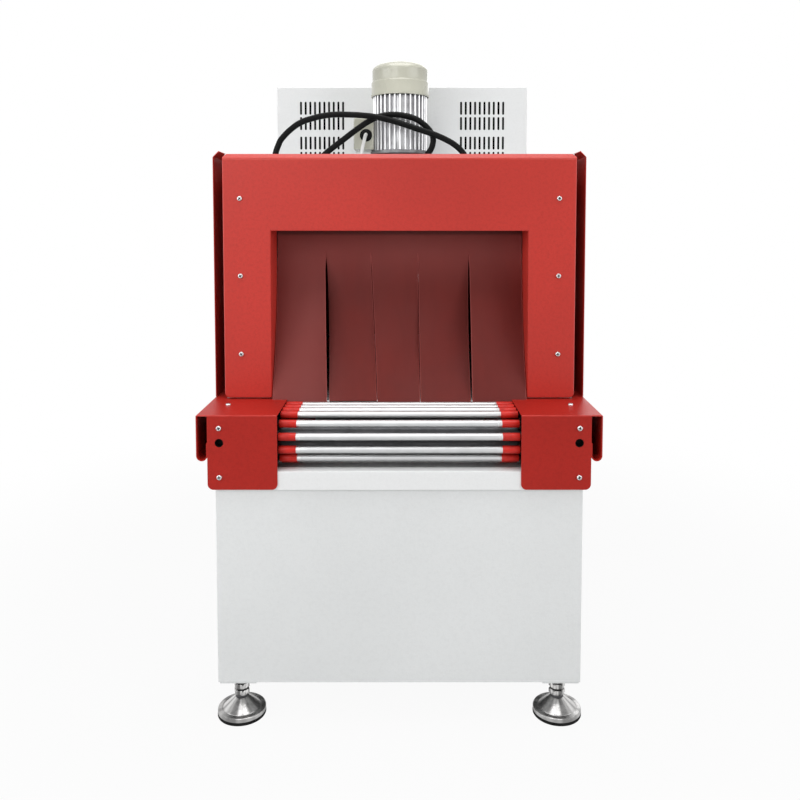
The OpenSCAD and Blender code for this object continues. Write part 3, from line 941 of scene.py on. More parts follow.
def repeat(
    name: str, shape: Mesh, places: Sequence[Point], finish: Finish, slot: str, *nodes: str,
    facing: Optional[Sequence[Point]] = None, turns: Optional[Sequence[float]] = None, angle: float = SMOOTH,
) -> Object:
    """Repeats a shape on points as one piece.

    Args:
        name: the piece's name.
        shape: the shape's mesh, about its own origin.
        places: where the shapes stand.
        finish: what the surface is.
        slot: the record's material slot.
        nodes: CAD nodes that the piece stands for.
        facing: direction of each shape's z axis; upright where none is given.
        turns: turn of each shape about that axis, in radians.
        angle: edges sharper than this stay sharp, in degrees.

    Returns:
        The piece.
    """
    points = bpy.data.meshes.new(name + "_points")
    points.from_pydata(list(places), [], [])
    look = points.attributes.new("facing", "FLOAT_VECTOR", "POINT").name
    spin = points.attributes.new("turn", "FLOAT", "POINT").name
    for index in range(len(places)):
        points.attributes[look].data[index].vector = facing[index] if facing else UP
        points.attributes[spin].data[index].value = turns[index] if turns else 0.0
    source = put(name + "_shape", shape)
    mesh = stamp_tree().run(name, finish, points, angle, Shape=source)
    bpy.data.objects.remove(source)
    return piece(name, mesh, finish, slot, *nodes)


# Sub-assemblies


@dataclass
class Cabinet:
    """White base cabinet with its deck, sills and side rails."""

    fold: float = 0.0016
    sill_fold: float = 0.0012
    rail_lined: float = 0.345

    def build(self) -> None:
        """Makes the cabinet's sheets."""
        sheets = ["base_floor"] + [f"base_{side}_panel" for side in ("front", "rear", "left", "right")]
        folded(sheets, self.fold, WHITE_COAT, "cabinet_white")
        for rail in folded(["left_rail", "right_rail"], self.sill_fold, WHITE_COAT, "cabinet_white"):
            line_with(rail, DARK_STEEL, lambda at: abs(at.x) < self.rail_lined)
        nose = -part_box("front_sill")[0].y - 0.0003
        folded(["front_sill", "rear_sill"], self.sill_fold, SILL_COAT, "sill_white", shortest=0.02,
               only=lambda at: abs(at.y) > nose)
        folded(["base_deck"], self.sill_fold, WHITE_COAT, "cabinet_white")


@dataclass
class Feet:
    """Levelling feet: rubber pad, turned cup, threaded stud and nuts."""

    cup_d: float = 0.094
    pad_h: float = 0.006
    cup_h: float = 0.029
    stud_d: float = 0.018
    nut_af: float = 0.028
    nut_h: float = 0.0092
    nut_lifts: Pair = (0.0062, 0.0192)
    nut_drop: float = 0.0128
    nut_turns: Tuple[float, ...] = (0.3, 0.1, 0.5, 0.2)
    chamfer: float = 0.0012
    thread: float = 0.0025
    ridge: float = 0.0009
    plain: float = 0.002
    sides: int = 48
    places: List[Point] = field(default_factory=list)
    base: float = 0.0
    top: float = 0.0

    def __post_init__(self) -> None:
        """Reads the four places and the cabinet floor's height from the CAD."""
        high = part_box("foot_pads")[1]
        x, y = high.x - self.cup_d / 2 + 0.001, high.y - self.cup_d / 2 + 0.001
        self.places = [(sx * x, sy * y, 0.0) for sx in (-1, 1) for sy in (-1, 1)]
        self.base, self.top = self.pad_h + self.cup_h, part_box("base_floor")[0].z

    def cup(self) -> Mesh:
        """One turned cup with a rolled rim, a dished flat and a cone.

        Returns:
            The cup's mesh, under its stud.
        """
        r, z, h = self.cup_d / 2, self.pad_h, self.cup_h
        neck, cone_r, cone_z = self.nut_af * 0.48, r - 0.0113, 0.34
        profile = [(0, z), (r - 0.001, z), (r, z + 0.0008), (r, z + h * 0.2), (r - 0.0005, z + h * 0.25),
                   (r - 0.0018, z + h * 0.288), (r - 0.0085, z + h * 0.306), (r - 0.0092, z + h * 0.296),
                   (r - 0.0102, z + h * 0.298), (r - 0.0108, z + h * 0.325), (cone_r, z + h * cone_z)]
        for t in (step / 8 for step in range(1, 9)):
            profile.append((cone_r + (neck + 0.0012 - cone_r) * t, z + h * (cone_z + 0.61 * t)))
        profile += [(neck + 0.0004, z + h * 0.975), (neck - 0.0008, z + h), (0, z + h)]
        return turned("foot_cup", profile, 2 * self.sides)

    def pad(self) -> Mesh:
        """One rubber pad with a rounded edge and a drip groove.

        Returns:
            The pad's mesh, standing on the floor.
        """
        r, h = self.cup_d / 2 + 0.0003, self.pad_h
        profile = [(0, 0), (r - 0.0014, 0), (r - 0.0004, 0.0005), (r, 0.0014), (r, h * 0.55),
                   (r - 0.0008, h * 0.7), (r - 0.0006, h), (0, h)]
        return turned("foot_pad", profile, 2 * self.sides)

    def shank(self) -> Mesh:
        """One foot's shank with its collar, without the thread.

        Returns:
            The mesh, at its height above the floor.
        """
        base, root, collar = self.base, self.stud_d / 2 - self.ridge, self.nut_af / 2 - 0.002
        bm = bmesh.new()
        lathe(bm, [(0, base - 0.001), (root, base - 0.001), (root, self.top), (0, self.top)], 32)
        lathe(bm, [(0, base - 0.0005), (collar, base - 0.0005), (collar + 0.0006, base + 0.0012),
                   (collar, base + 0.005), (0, base + 0.005)], self.sides)
        return to_mesh("foot_shank", bm)

    def nuts(self) -> Mesh:
        """One foot's washer and its three hexagon nuts with chamfered corners.

        Returns:
            The mesh, at its height above the floor.
        """
        top, flat, cut = self.top, self.nut_af / 2, self.chamfer
        washer = flat + 0.001
        bm = bmesh.new()
        lathe(bm, [(0, top - 0.003), (washer - 0.0004, top - 0.003), (washer, top - 0.0025), (washer, top),
                   (0, top)], self.sides)
        for low in [self.base + lift for lift in self.nut_lifts] + [top - self.nut_drop]:
            high = low + self.nut_h
            rings = [[bm.verts.new((0, 0, low))]]
            for height, reach in ((low, 0.985), (low + cut, 1.2), (high - cut, 1.2), (high, 0.985)):
                ring = []
                for a in (2 * math.pi * k / self.sides for k in range(self.sides)):
                    inner = (a + math.pi / 6) % (math.pi / 3) - math.pi / 6
                    ring.append(bm.verts.new((*polar(min(flat / math.cos(inner), flat * reach), a), height)))
                rings.append(ring)
            stack(bm, rings + [[bm.verts.new((0, 0, high))]])
        return to_mesh("foot_nuts", bm)

    def build(self) -> None:
        """Makes the four feet."""
        steel = TurnedSteel("foot steel", (0.5, 0.495, 0.49), self.places[-1][:2])
        repeat("levelling_cups", self.cup(), self.places, steel, "foot_steel", "foot_cups", angle=26.0)
        repeat("levelling_pads", self.pad(), self.places, PAD_RUBBER, "foot_rubber", "foot_pads", angle=50.0)
        repeat("levelling_shanks", self.shank(), self.places, DARK_STEEL, "foot_steel", "foot_studs")
        repeat("levelling_nuts", self.nuts(), self.places, steel, "foot_steel", turns=self.nut_turns,
               angle=28.0)
        run = self.top - self.base - 2 * self.plain
        wound = thread_tree().run("thread_turns", DARK_STEEL, Turns=run / self.thread,
                                  Radius=self.stud_d / 2 - self.ridge, Height=run, Ridge=self.ridge)
        places = [(x, y, self.base + self.plain) for x, y, _ in self.places]
        repeat("levelling_threads", wound, places, DARK_STEEL, "foot_steel", angle=60.0)


@dataclass
class Conveyor:
    """Chain-and-rod conveyor: rods with red sleeves on two chain loops, with axles and sprockets."""

    pitch: float = 0.0254
    teeth: int = 11
    run_links: int = 46
    phase: float = 0.617
    rod_d: float = 0.014
    sleeve_d: float = 0.0152
    sleeve_x: Pair = (0.1972, 0.2304)
    rod_x: float = 0.2308
    pin_r: float = 0.004
    pin_x: float = 0.236
    chain_w: float = 0.016
    link_h: float = 0.012
    plate_t: float = 0.0017
    plate_in: Pair = (0.004, 0.0019)
    waist: float = 0.72
    roller_r: float = 0.0048
    rivet_r: float = 0.0026
    tooth_w: float = 0.0036
    shaft_r: float = 0.0125
    sides: int = 20
    axle_y: float = 0.0
    axle_z: float = 0.0

    def __post_init__(self) -> None:
        """Reads the axles' places from the CAD."""
        low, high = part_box("front_axle")
        self.axle_y, self.axle_z = -(low.y + high.y) / 2, (low.z + high.z) / 2

    @property
    def links(self) -> int:
        """Number of links, and of rods, on a loop."""
        return 2 * self.run_links + self.teeth

    @property
    def radius(self) -> float:
        """Radius of the pins on a sprocket."""
        return self.pitch / (2 * math.sin(math.pi / self.teeth))

    def place(self, index: int) -> Pair:
        """Place of a rod on the chain's loop, whose lower half is the upper one turned round.

        Args:
            index: the rod's number along the loop.

        Returns:
            Its y and z.
        """
        half = self.links / 2
        s = (index + self.phase) % self.links
        sign, s = (1, s) if s < half else (-1, s - half)
        if s < self.run_links:
            y, z = s * self.pitch - self.axle_y, self.radius
        else:
            z, past = polar(self.radius, (s - self.run_links) * 2 * math.pi / self.teeth)
            y = self.axle_y + past
        return sign * y, self.axle_z + sign * z

    def rod(self) -> Mesh:
        """One rod along x: tube, a bright collar at each sleeve and end pins.

        Returns:
            The mesh, with the painted shade mark set to 1 on the ends beyond the sleeves, which are painted
            dark as shade.
        """
        r, (x0, x1), end = self.rod_d / 2, self.sleeve_x, self.rod_x
        half = [(r, x0 - 0.0075), (r + 0.0004, x0 - 0.007), (r + 0.0004, x0 - 0.0008), (r, x0),
                (r, x1 - 0.0005), (r - 0.0005, end - 0.0005), (r - 0.001, end), (self.pin_r, end),
                (self.pin_r, self.pin_x), (0.0, self.pin_x)]
        bm = bmesh.new()
        hollow = bm.faces.layers.float.new("hollow")
        lathe(bm, mirrored(half), self.sides, ALONG_X)
        # Marks the rod ends beyond the sleeves, which the steel paints near black as painted shade.
        for face in bm.faces:
            face[hollow] = float(abs(face.calc_center_median().x) > x1 - 0.001)
        return to_mesh("rod", bm)

    def sleeve(self) -> Mesh:
        """The two sleeves of one rod, with rounded lips.

        Returns:
            The mesh, about the rod's middle.
        """
        inner, outer, (x0, x1) = self.rod_d / 2 + 0.00005, self.sleeve_d / 2, self.sleeve_x
        lip, turn = outer - 0.0004, 0.0008
        profile = [(inner, x0), (lip, x0), (outer, x0 + turn), (outer, x1 - turn), (lip, x1), (inner, x1)]
        bm = bmesh.new()
        for side in Side:
            lathe(bm, profile + profile[:1], self.sides, Matrix.Rotation(side.value * math.pi / 2, 4, "Y"))
        return to_mesh("sleeve", bm)

    def link(self, wide: bool) -> Mesh:
        """One chain link along local z: two waisted plates, with a roller on the inner kind.

        Args:
            wide: True for the outer plates, False for the inner ones.

        Returns:
            The link's mesh, about its first pin.
        """
        r, p, half = self.link_h / 2 - 0.0002, self.pitch, self.chain_w / 2
        gap, waist = half - self.plate_in[wide], r * self.waist
        pin, reach, sides = (self.rivet_r, half, 10) if wide else (self.roller_r, gap, 12)
        to_x = Matrix(((0, 0, 1, 0), (1, 0, 0, 0), (0, 1, 0, 0), (0, 0, 0, 1)))
        outline: List[Pair] = []
        for middle, start, flank in ((p, 0.0, -waist), (0.0, math.pi, waist)):
            arc = [polar(r, start + math.pi * k / 8) for k in range(9)]
            outline += [(x, middle + y) for x, y in arc] + [(flank, p / 2)]
        bm = bmesh.new()
        for low in (-gap - self.plate_t, gap):
            prism(bm, outline, low, low + self.plate_t, to_x)
        for z in (0.0, p):
            lathe(bm, [(0.0, -reach), (pin, -reach), (pin, reach), (0.0, reach)], sides,
                  Matrix.Translation((0, 0, z)) @ ALONG_X)
        return to_mesh("link", bm)

    def chains(self) -> None:
        """Makes both chain loops."""
        for side in Side:
            node = side.name.lower() + "_chain"
            low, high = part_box(node)
            x = (low.x + high.x) / 2
            for wide in (False, True):
                pins = [(self.place(i), self.place(i + 1)) for i in range(0 if wide else 1, self.links, 2)]
                places = [(x, *first) for first, _ in pins]
                facing = [(0.0, y1 - y, z1 - z) for (y, z), (y1, z1) in pins]
                repeat(f"{node}_{'outer' if wide else 'inner'}_links", self.link(wide), places, CHAIN_STEEL,
                       "drive_steel", node, facing=facing)

    def sprocket(self) -> Mesh:
        """One toothed wheel with a hub, along x.

        Returns:
            The mesh, about its own middle.
        """
        root, tip = self.radius - self.link_h / 2 + 0.0002, self.radius + 0.0012
        tooth = ((0.0, root), (0.16, root + 0.0006), (0.3, root + 0.0042), (0.42, tip), (0.58, tip),
                 (0.7, root + 0.0042), (0.84, root + 0.0006))
        turn = 2 * math.pi / self.teeth
        outline = [polar(reach, turn * (k + step)) for k in range(self.teeth) for step, reach in tooth]
        hub = mirrored([(0.022, 0.0042), (0.021, 0.005), (0.0127, 0.005)])
        bm = bmesh.new()
        prism(bm, outline, -self.tooth_w, self.tooth_w, ALONG_X)
        lathe(bm, hub + hub[:1], 2 * self.sides, ALONG_X)
        return to_mesh("sprocket", bm)

    def axle(self, node: str) -> None:
        """Makes one axle with its drum and chamfered ends.

        Args:
            node: the CAD node.
        """
        low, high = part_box(node)
        shaft, drum, edge, end = self.shaft_r, (high.z - low.z) / 2, self.sleeve_x[1], high.x
        half = [(drum, edge - 0.004), (drum - 0.0012, edge), (shaft, edge), (shaft, end - 0.0015),
                (shaft - 0.0015, end), (0.0, end)]
        at = Matrix.Translation((0, (low.y + high.y) / 2, self.axle_z)) @ ALONG_X
        piece("turned_" + node, turned(node, mirrored(half), 56, at), DARK_STEEL, "drive_steel", node)

    def build(self) -> None:
        """Makes the conveyor."""
        rods = [(0.0, *self.place(i)) for i in range(self.links)]
        repeat("rods", self.rod(), rods, ROD_STEEL, "rod_steel", "conveyor_rods")
        repeat("sleeves", self.sleeve(), rods, SLEEVE_RED, "sleeve_red", "rod_sleeves")
        self.chains()
        low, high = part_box("left_chain")
        x = -(low.x + high.x) / 2
        wheels = [(sx * x, sy * self.axle_y, self.axle_z) for sx in (-1, 1) for sy in (-1, 1)]
        repeat("toothed_wheels", self.sprocket(), wheels, DARK_STEEL, "drive_steel", "sprockets")
        self.axle("front_axle")
        self.axle("rear_axle")
        folded(["axle_bearings"], 0.002, DARK_STEEL, "drive_steel", shortest=0.015)


@dataclass
class Covers:
    """Red end guards, side covers and side shields."""

    fold: float = 0.0019
    shortest: float = 0.0085
    top_z: float = 0.6062
    brow_z: float = 1.1048
    access_d: float = 0.0164
    access_x: float = 0.341
    access_drop: float = 0.053
    access_deep: float = 0.016
    access_t: float = 0.0015

    def build(self) -> None:
        """Makes the covers."""
        guards = [f"{end}_{side}_guard" for end in ("front", "rear") for side in ("left", "right")]
        folded(guards + ["left_side_cover", "right_side_cover"], self.fold, GUARD_COAT, "guard_red",
               shortest=self.shortest, only=lambda at: at.z > self.top_z)
        folded(["left_side_shield", "right_side_shield"], self.fold, SHIELD_COAT, "guard_red",
               shortest=self.shortest, only=lambda at: at.z > self.brow_z)
        self.access_cups()

    def access_cups(self) -> None:
        """Black cups behind the guards' access holes that stand in for the shade inside them: painted shade."""
        low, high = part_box("front_right_guard")
        r, back, floor = self.access_d / 2, -self.access_deep, self.access_t - self.access_deep
        profile = [(0.0, back), (r + 0.0018, back), (r + 0.0018, -0.0021), (r - 0.0001, -0.0021),
                   (r - 0.0001, -0.0008), (r - 0.0008, -0.0008), (r - 0.001, floor), (0.0, floor)]
        shape = turned("access_cup", profile, 40)
        z = high.z - self.access_drop
        places = [(side.value * self.access_x, end.value * -low.y, z) for end in End for side in Side]
        facing = [(0.0, float(end.value), 0.0) for end in End for _ in Side]
        # Painted shade: black cups fill the holes with dark.
        repeat("access_cups", shape, places, GLAND_SKIN, "drive_steel", facing=facing)


@dataclass
class Hood:
    """Red insulated hood: folded end panels, end walls, side walls and roof."""

    fold: float = 0.0022
    face_y: float = 0.4997
    liner_fold: float = 0.001

    def build(self) -> None:
        """Makes the hood's sheets."""
        folded(["front_hood_panel", "rear_hood_panel"], self.fold, HOOD_COAT, "hood_red", sharp=30.0,
               only=lambda at: abs(at.y) > self.face_y)
        folded(["hood_roof"], self.fold, ROOF_ZINC, "sheet_zinc")
        walls = ["front_end_wall", "rear_end_wall", "left_hood_wall", "right_hood_wall"]
        folded(walls, self.liner_fold, LINER_STEEL, "liner_steel")


@dataclass
class Screws:
    """Pan-head screws on the hood and the guards."""

    head_d: float = 0.0104
    head_h: float = 0.0036
    hood_x: float = 0.325
    hood_z: Tuple[float, ...] = (1.0187, 0.861, 0.700)
    guard_x: float = 0.341
    guard_z: Tuple[float, ...] = (0.582, 0.4877)
    top_y: float = 0.556
    seed: int = 7

    def head(self) -> Mesh:
        """One pan head with a cross recess, standing on its own origin.

        Returns:
            The mesh, with the painted shade mark set to 1 in the recess, which is painted dark as shade.
        """
        wide, high = self.head_d, self.head_h
        r, arm, slim = wide / 2, wide * 0.32, wide * 0.085
        corner, floor = math.atan2(slim, arm), high * 0.45
        turns = [start * math.pi / 2 + a for start in range(4) for a in (-corner, 0.0, corner, math.pi / 4)]
        angles = sorted(turn % (2 * math.pi) for turn in turns)

        def cross(a: float) -> float:
            """Reach of the recess in a direction.

            Args:
                a: the direction, in radians.

            Returns:
                The distance from the axis.
            """
            b = (a + math.pi / 4) % (math.pi / 2) - math.pi / 4
            flat, side = arm / math.cos(b), slim / max(1e-6, abs(math.sin(b)))
            return flat if abs(b) <= corner + 1e-6 else min(flat, side)

        bm = bmesh.new()
        hollow = bm.faces.layers.float.new("hollow")
        levels = [(r * 0.96, -0.0003), (r * 0.98, 0.0002), (r, 0.0006), (r, high * 0.2), (r, high * 0.4),
                  (r * 0.94, high * 0.72), (r * 0.82, high * 0.93), (r * 0.72, high)]
        rings = [[bm.verts.new((*polar(reach, a), z)) for a in angles] for reach, z in levels]
        for gain, z in ((1.0, high), (0.72, floor)):
            rings.append([bm.verts.new((*polar(gain * cross(a), a), z)) for a in angles])
        stack(bm, rings + [[bm.verts.new((0, 0, floor))]])
        bm.faces.new(rings[0])
        # Marks the cross recess for painted shade.
        for face in bm.faces:
            middle = face.calc_center_median()
            face[hollow] = float(middle.z > 0 and middle.xy.length < arm and middle.z < high * 0.8)
        return to_mesh("screw_head", bm)

    def build(self) -> None:
        """Makes all screws, each on the sheet that carries it."""
        rng = random.Random(self.seed)
        face = -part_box("front_hood_panel")[0].y
        low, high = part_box("front_right_guard")
        upright = [(self.hood_x, face, z) for z in self.hood_z]
        upright += [(self.guard_x, -low.y, z) for z in self.guard_z]
        places: List[Point] = []
        facing: List[Point] = []
        for end in End:
            for side in Side:
                for x, y, z in upright + [(self.guard_x, self.top_y, high.z)]:
                    places.append((side.value * x, end.value * y, z))
                facing += [(0.0, float(end.value), 0.0)] * len(upright) + [UP]
        turns = [rng.uniform(0, math.pi) for _ in places]
        repeat("cover_screws", self.head(), places, SCREW_STEEL, "foot_steel", facing=facing, turns=turns,
               angle=40.0)


@dataclass
class Curtain:
    """Strip curtain of one cloth sheet, slit from below into five strips that bow outwards."""

    end: End
    thick: float = 0.0028
    off_wall: float = 0.003
    slits: Tuple[float, ...] = (0.0, 0.0042, 0.0016, 0.0014, 0.0032, 0.0)
    slit_z: float = 0.907
    hems_z: Tuple[float, ...] = (0.6008, 0.6034, 0.6020, 0.6012, 0.6002)
    reaches: Tuple[float, ...] = (0.0890, 0.0836, 0.0848, 0.0852, 0.0890)
    tops: Tuple[float, ...] = (-0.2610, -0.158, -0.062, 0.039, 0.148, 0.2610)
    hems: Tuple[float, ...] = (-0.2612, -0.147, -0.046, 0.043, 0.1485, 0.2612)
    bows: Tuple[float, ...] = (1.2, 2.3, 2.0, 2.2, 1.25)
    twists: Tuple[float, ...] = (0.007, 0.004, -0.003, -0.004, -0.007)
    bow_length: float = 1.015
    head_ripple: Pair = (0.0012, 34.0)
    ripple: Point = (0.0016, 4.2, 6.0)
    curl: float = 0.003
    slit_rate: float = 8.0
    share: Tuple[float, ...] = (0.0, 0.012, 0.03, 0.1, 0.2, 0.3, 0.4, 0.5, 0.6, 0.7, 0.8, 0.9, 0.97, 0.988)
    rows: int = 30
    head_rows: int = 8
    seed: int = 3

    def edge(self, cut: int, depth: float) -> float:
        """Place of a cut between strips: x at a depth of 0 at the slit's top to 1 at the hem."""
        return self.tops[cut] + (self.hems[cut] - self.tops[cut]) * depth

    def line(self, n: int, depth: float, phase: float) -> List[Point]:
        """One line of points across a strip.

        Args:
            n: the strip's number.
            depth: 0 at the slit's top to 1 at the hem.
            phase: where the strip's ripple starts.

        Returns:
            For each point x, how far it stands out from the hanging plane, and z.
        """
        wide, swell = min(1.0, depth * self.slit_rate) / 2, math.sin(math.pi * depth)
        high, across, down = self.ripple
        left = self.edge(n, depth) + self.slits[n] * wide
        right = self.edge(n + 1, depth) - self.slits[n + 1] * wide
        z = self.slit_z + (self.hems_z[n] - self.slit_z) * depth
        points = []
        for v in self.share + (1.0,):
            side = 2 * v - 1
            wave = high * math.sin(across * v + down * depth + phase)
            out = self.reaches[n] * depth ** self.bows[n]
            out += (self.twists[n] * side + wave - self.curl * side ** 2) * swell
            points.append((left + (right - left) * v, out, z))
        return points

    def surface(self, name: str) -> BMesh:
        """The cloth's outer face as one sheet for the infeed end, with a map of the flat cut.

        Args:
            name: the CAD node that gives the hanging plane.

        Returns:
            An open sheet with its faces towards the infeed.
        """
        low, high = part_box(name)
        plane = min(abs(low.y), abs(high.y)) + self.off_wall
        rng = random.Random(self.seed)
        bm = bmesh.new()
        cut = bm.loops.layers.uv.new("cut")
        fray = bm.verts.layers.float.new("fray")

        def knots(points: Iterable[Point]) -> List[BMVert]:
            """Adds points of the cloth."""
            return [bm.verts.new((x, -plane - out, z)) for x, out, z in points]

        def weave(lines: Sequence[Sequence[BMVert]]) -> None:
            """Adds the faces between lines of points.

            Args:
                lines: the lines from the top down, all with the same number of points.
            """
            for upper, lower in zip(lines, lines[1:]):
                for c in range(len(upper) - 1):
                    bm.faces.new((upper[c], upper[c + 1], lower[c + 1], lower[c]))

        columns = len(self.share)
        across = [a + (b - a) * v for a, b in zip(self.tops, self.tops[1:]) for v in self.share]
        across.append(self.tops[-1])
        size, rate = self.head_ripple
        head = []
        for t in (row / self.head_rows for row in range(self.head_rows + 1)):
            z = high.z + (self.slit_z - high.z) * t
            head.append(knots((x, size * math.sin(x * rate) * t, z) for x in across))
        weave(head)
        for n in range(len(self.bows)):
            phase = rng.uniform(0.0, 6.28)
            lines = [head[-1][n * columns:(n + 1) * columns + 1]]
            for row in range(1, self.rows + 1):
                lines.append(knots(self.line(n, row / self.rows, phase)))
                lines[-1][0][fray] = lines[-1][-1][fray] = 1.0
            weave(lines)
        bm.normal_update()
        for made in bm.faces:
            for loop in made.loops:
                loop[cut].uv = loop.vert.co.xz
            if made.normal.y > 0:
                made.normal_flip()
        return bm

    def build(self) -> None:
        word = "front" if self.end is End.INFEED else "rear"
        name = word + "_curtain"
        mesh = bpy.data.meshes.new(name + "_face")
        bm = self.surface(name)
        bm.to_mesh(mesh)
        bm.free()
        if self.end is End.OUTFEED:
            mesh.transform(Matrix.Rotation(math.pi, 4, "Z"))
        carrier = put(name + "_carrier", mesh)
        wall = carrier.modifiers.new("wall", "SOLIDIFY")
        wall.thickness, wall.offset, wall.use_rim = self.thick, -1.0, True
        cloth = piece(name + "_cloth", baked(carrier, name + "_cloth", 50.0), CLOTH, "curtain_red", name)


@dataclass
class FanMotor:
    """Roof fan motor: stand, ribbed body, stepped cowl and terminal box."""

    ribs: int = 32
    rib_t: float = 0.0042
    rib_h: float = 0.0125
    rib_root: float = 0.003
    lip: float = 0.005
    plate: float = 0.070
    plate_t: float = 0.009
    corner_r: float = 0.012
    neck_r: float = 0.063
    sides: int = 96

    def build(self) -> None:
        """Makes the motor's pieces."""
        self.stand()
        self.body()
        self.cowl()
        folded(["terminal_box"], 0.003, BEIGE_PAINT, "motor_beige", shortest=0.006, only=lambda at: True)

    def stand(self) -> None:
        """Square plate, neck and flange below the motor."""
        low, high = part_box("motor_stand")
        flange, neck, flat = (high.x - low.x) / 2, self.neck_r, self.plate - self.corner_r
        foot, head = low.z + self.plate_t, high.z - self.plate_t
        outline: List[Pair] = []
        for quarter, (sx, sy) in enumerate(((1, 1), (-1, 1), (-1, -1), (1, -1))):
            arc = [polar(self.corner_r, math.radians(90 * quarter + 15 * step)) for step in range(7)]
            outline += [(sx * flat + x, sy * flat + y) for x, y in arc]
        bm = bmesh.new()
        prism(bm, outline, low.z, foot)
        lathe(bm, [(0, low.z), (neck + 0.004, foot), (neck + 0.001, foot + 0.003), (neck, foot + 0.006),
                   (neck, head - 0.004), (flange - 0.003, head), (flange, head + 0.001),
                   (flange, high.z - 0.001), (flange - 0.001, high.z), (0, high.z)], self.sides)
        piece("fan_stand", to_mesh("fan_stand", bm), STAND_ALLOY, "motor_aluminium", "motor_stand")

    def body(self) -> None:
        """Core tube, darker than the ribs and near black under the cowl, both as painted shade, and the ring of
        ribs.
        """
        low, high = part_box("motor_body")
        tip, rim, depth = (high.x - low.x) / 2, high.z - self.lip, self.rib_h + self.rib_root
        root = tip - self.rib_h
        profile = [(0, low.z), (root, low.z), (root, rim), (root, high.z), (0, high.z)]
        mesh = turned("fan_core", profile, self.sides)
        core = piece("fan_core", mesh, CORE_ALLOY, "motor_aluminium", "motor_body")
        # Painted shade: the core near black where it runs up under the cowl.
        line_with(core, DARK_STEEL, lambda at: at.z > rim)
        floor = low.z + 0.001
        ring = rib_tree().run("fan_ribs", ALLOY, angle=40.0, Count=self.ribs, Middle=tip - depth / 2,
                              Depth=depth, Thickness=self.rib_t, Height=rim - floor, Floor=floor)
        piece("fan_ribs", ring, ALLOY, "motor_aluminium")

    def cowl(self) -> None:
        """Stepped beige cowl with a rolled lower rim, a domed top and an underside painted near black as
        painted shade.
        """
        low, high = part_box("motor_cowl")
        r, tall, z = (high.x - low.x) / 2, high.z - low.z, low.z
        profile = [(0.0, z + 0.006), (r - 0.006, z + 0.006), (r - 0.006, z + 0.004), (r - 0.003, z),
                   (r - 0.001, z), (r, z + 0.001), (r, z + 0.006), (r - 0.0008, z + 0.0072),
                   (r - 0.0008, z + tall * 0.395), (r - 0.0015, z + tall * 0.42), (r - 0.003, z + tall * 0.44),
                   (r - 0.0032, z + tall * 0.46), (r - 0.0032, z + tall * 0.7)]
        for a in (step / 12 * math.pi / 2 for step in range(1, 13)):
            profile.append((r * (0.46 + 0.51 * math.cos(a)), z + tall * (0.73 + 0.252 * math.sin(a))))
        profile += [(r * 0.3, z + tall * 0.992), (r * 0.16, z + tall * 0.998), (0.0, z + tall)]
        mesh = turned("fan_cowl", profile, 112, angle=40.0)
        made = piece("fan_cowl", mesh, BEIGE_PAINT, "motor_beige", "motor_cowl")
        # Painted shade: the cowl's underside near black.
        line_with(made, DARK_STEEL, lambda at: at.z < z + 0.0062 and math.hypot(at.x, at.y) < r - 0.0025)


@dataclass
class ControlBox:
    """White control box with punched vent slots."""

    fold: float = 0.0022
    skin: float = 0.0008

    def build(self) -> None:
        """Makes the box and paints its inside near black, as painted shade seen through the vent slots."""
        low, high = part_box("control_box")

        def inside(at: Vector) -> bool:
            """Tells whether a face lies deeper than the sheet's skin."""
            return all(a + self.skin < c < b - self.skin for a, b, c in zip(low, high, at))

        for box in folded(["control_box"], self.fold, BOX_COAT, "box_white", shortest=0.1):
            # Painted shade inside the box.
            line_with(box, BOX_INSIDE_SHADE, inside)


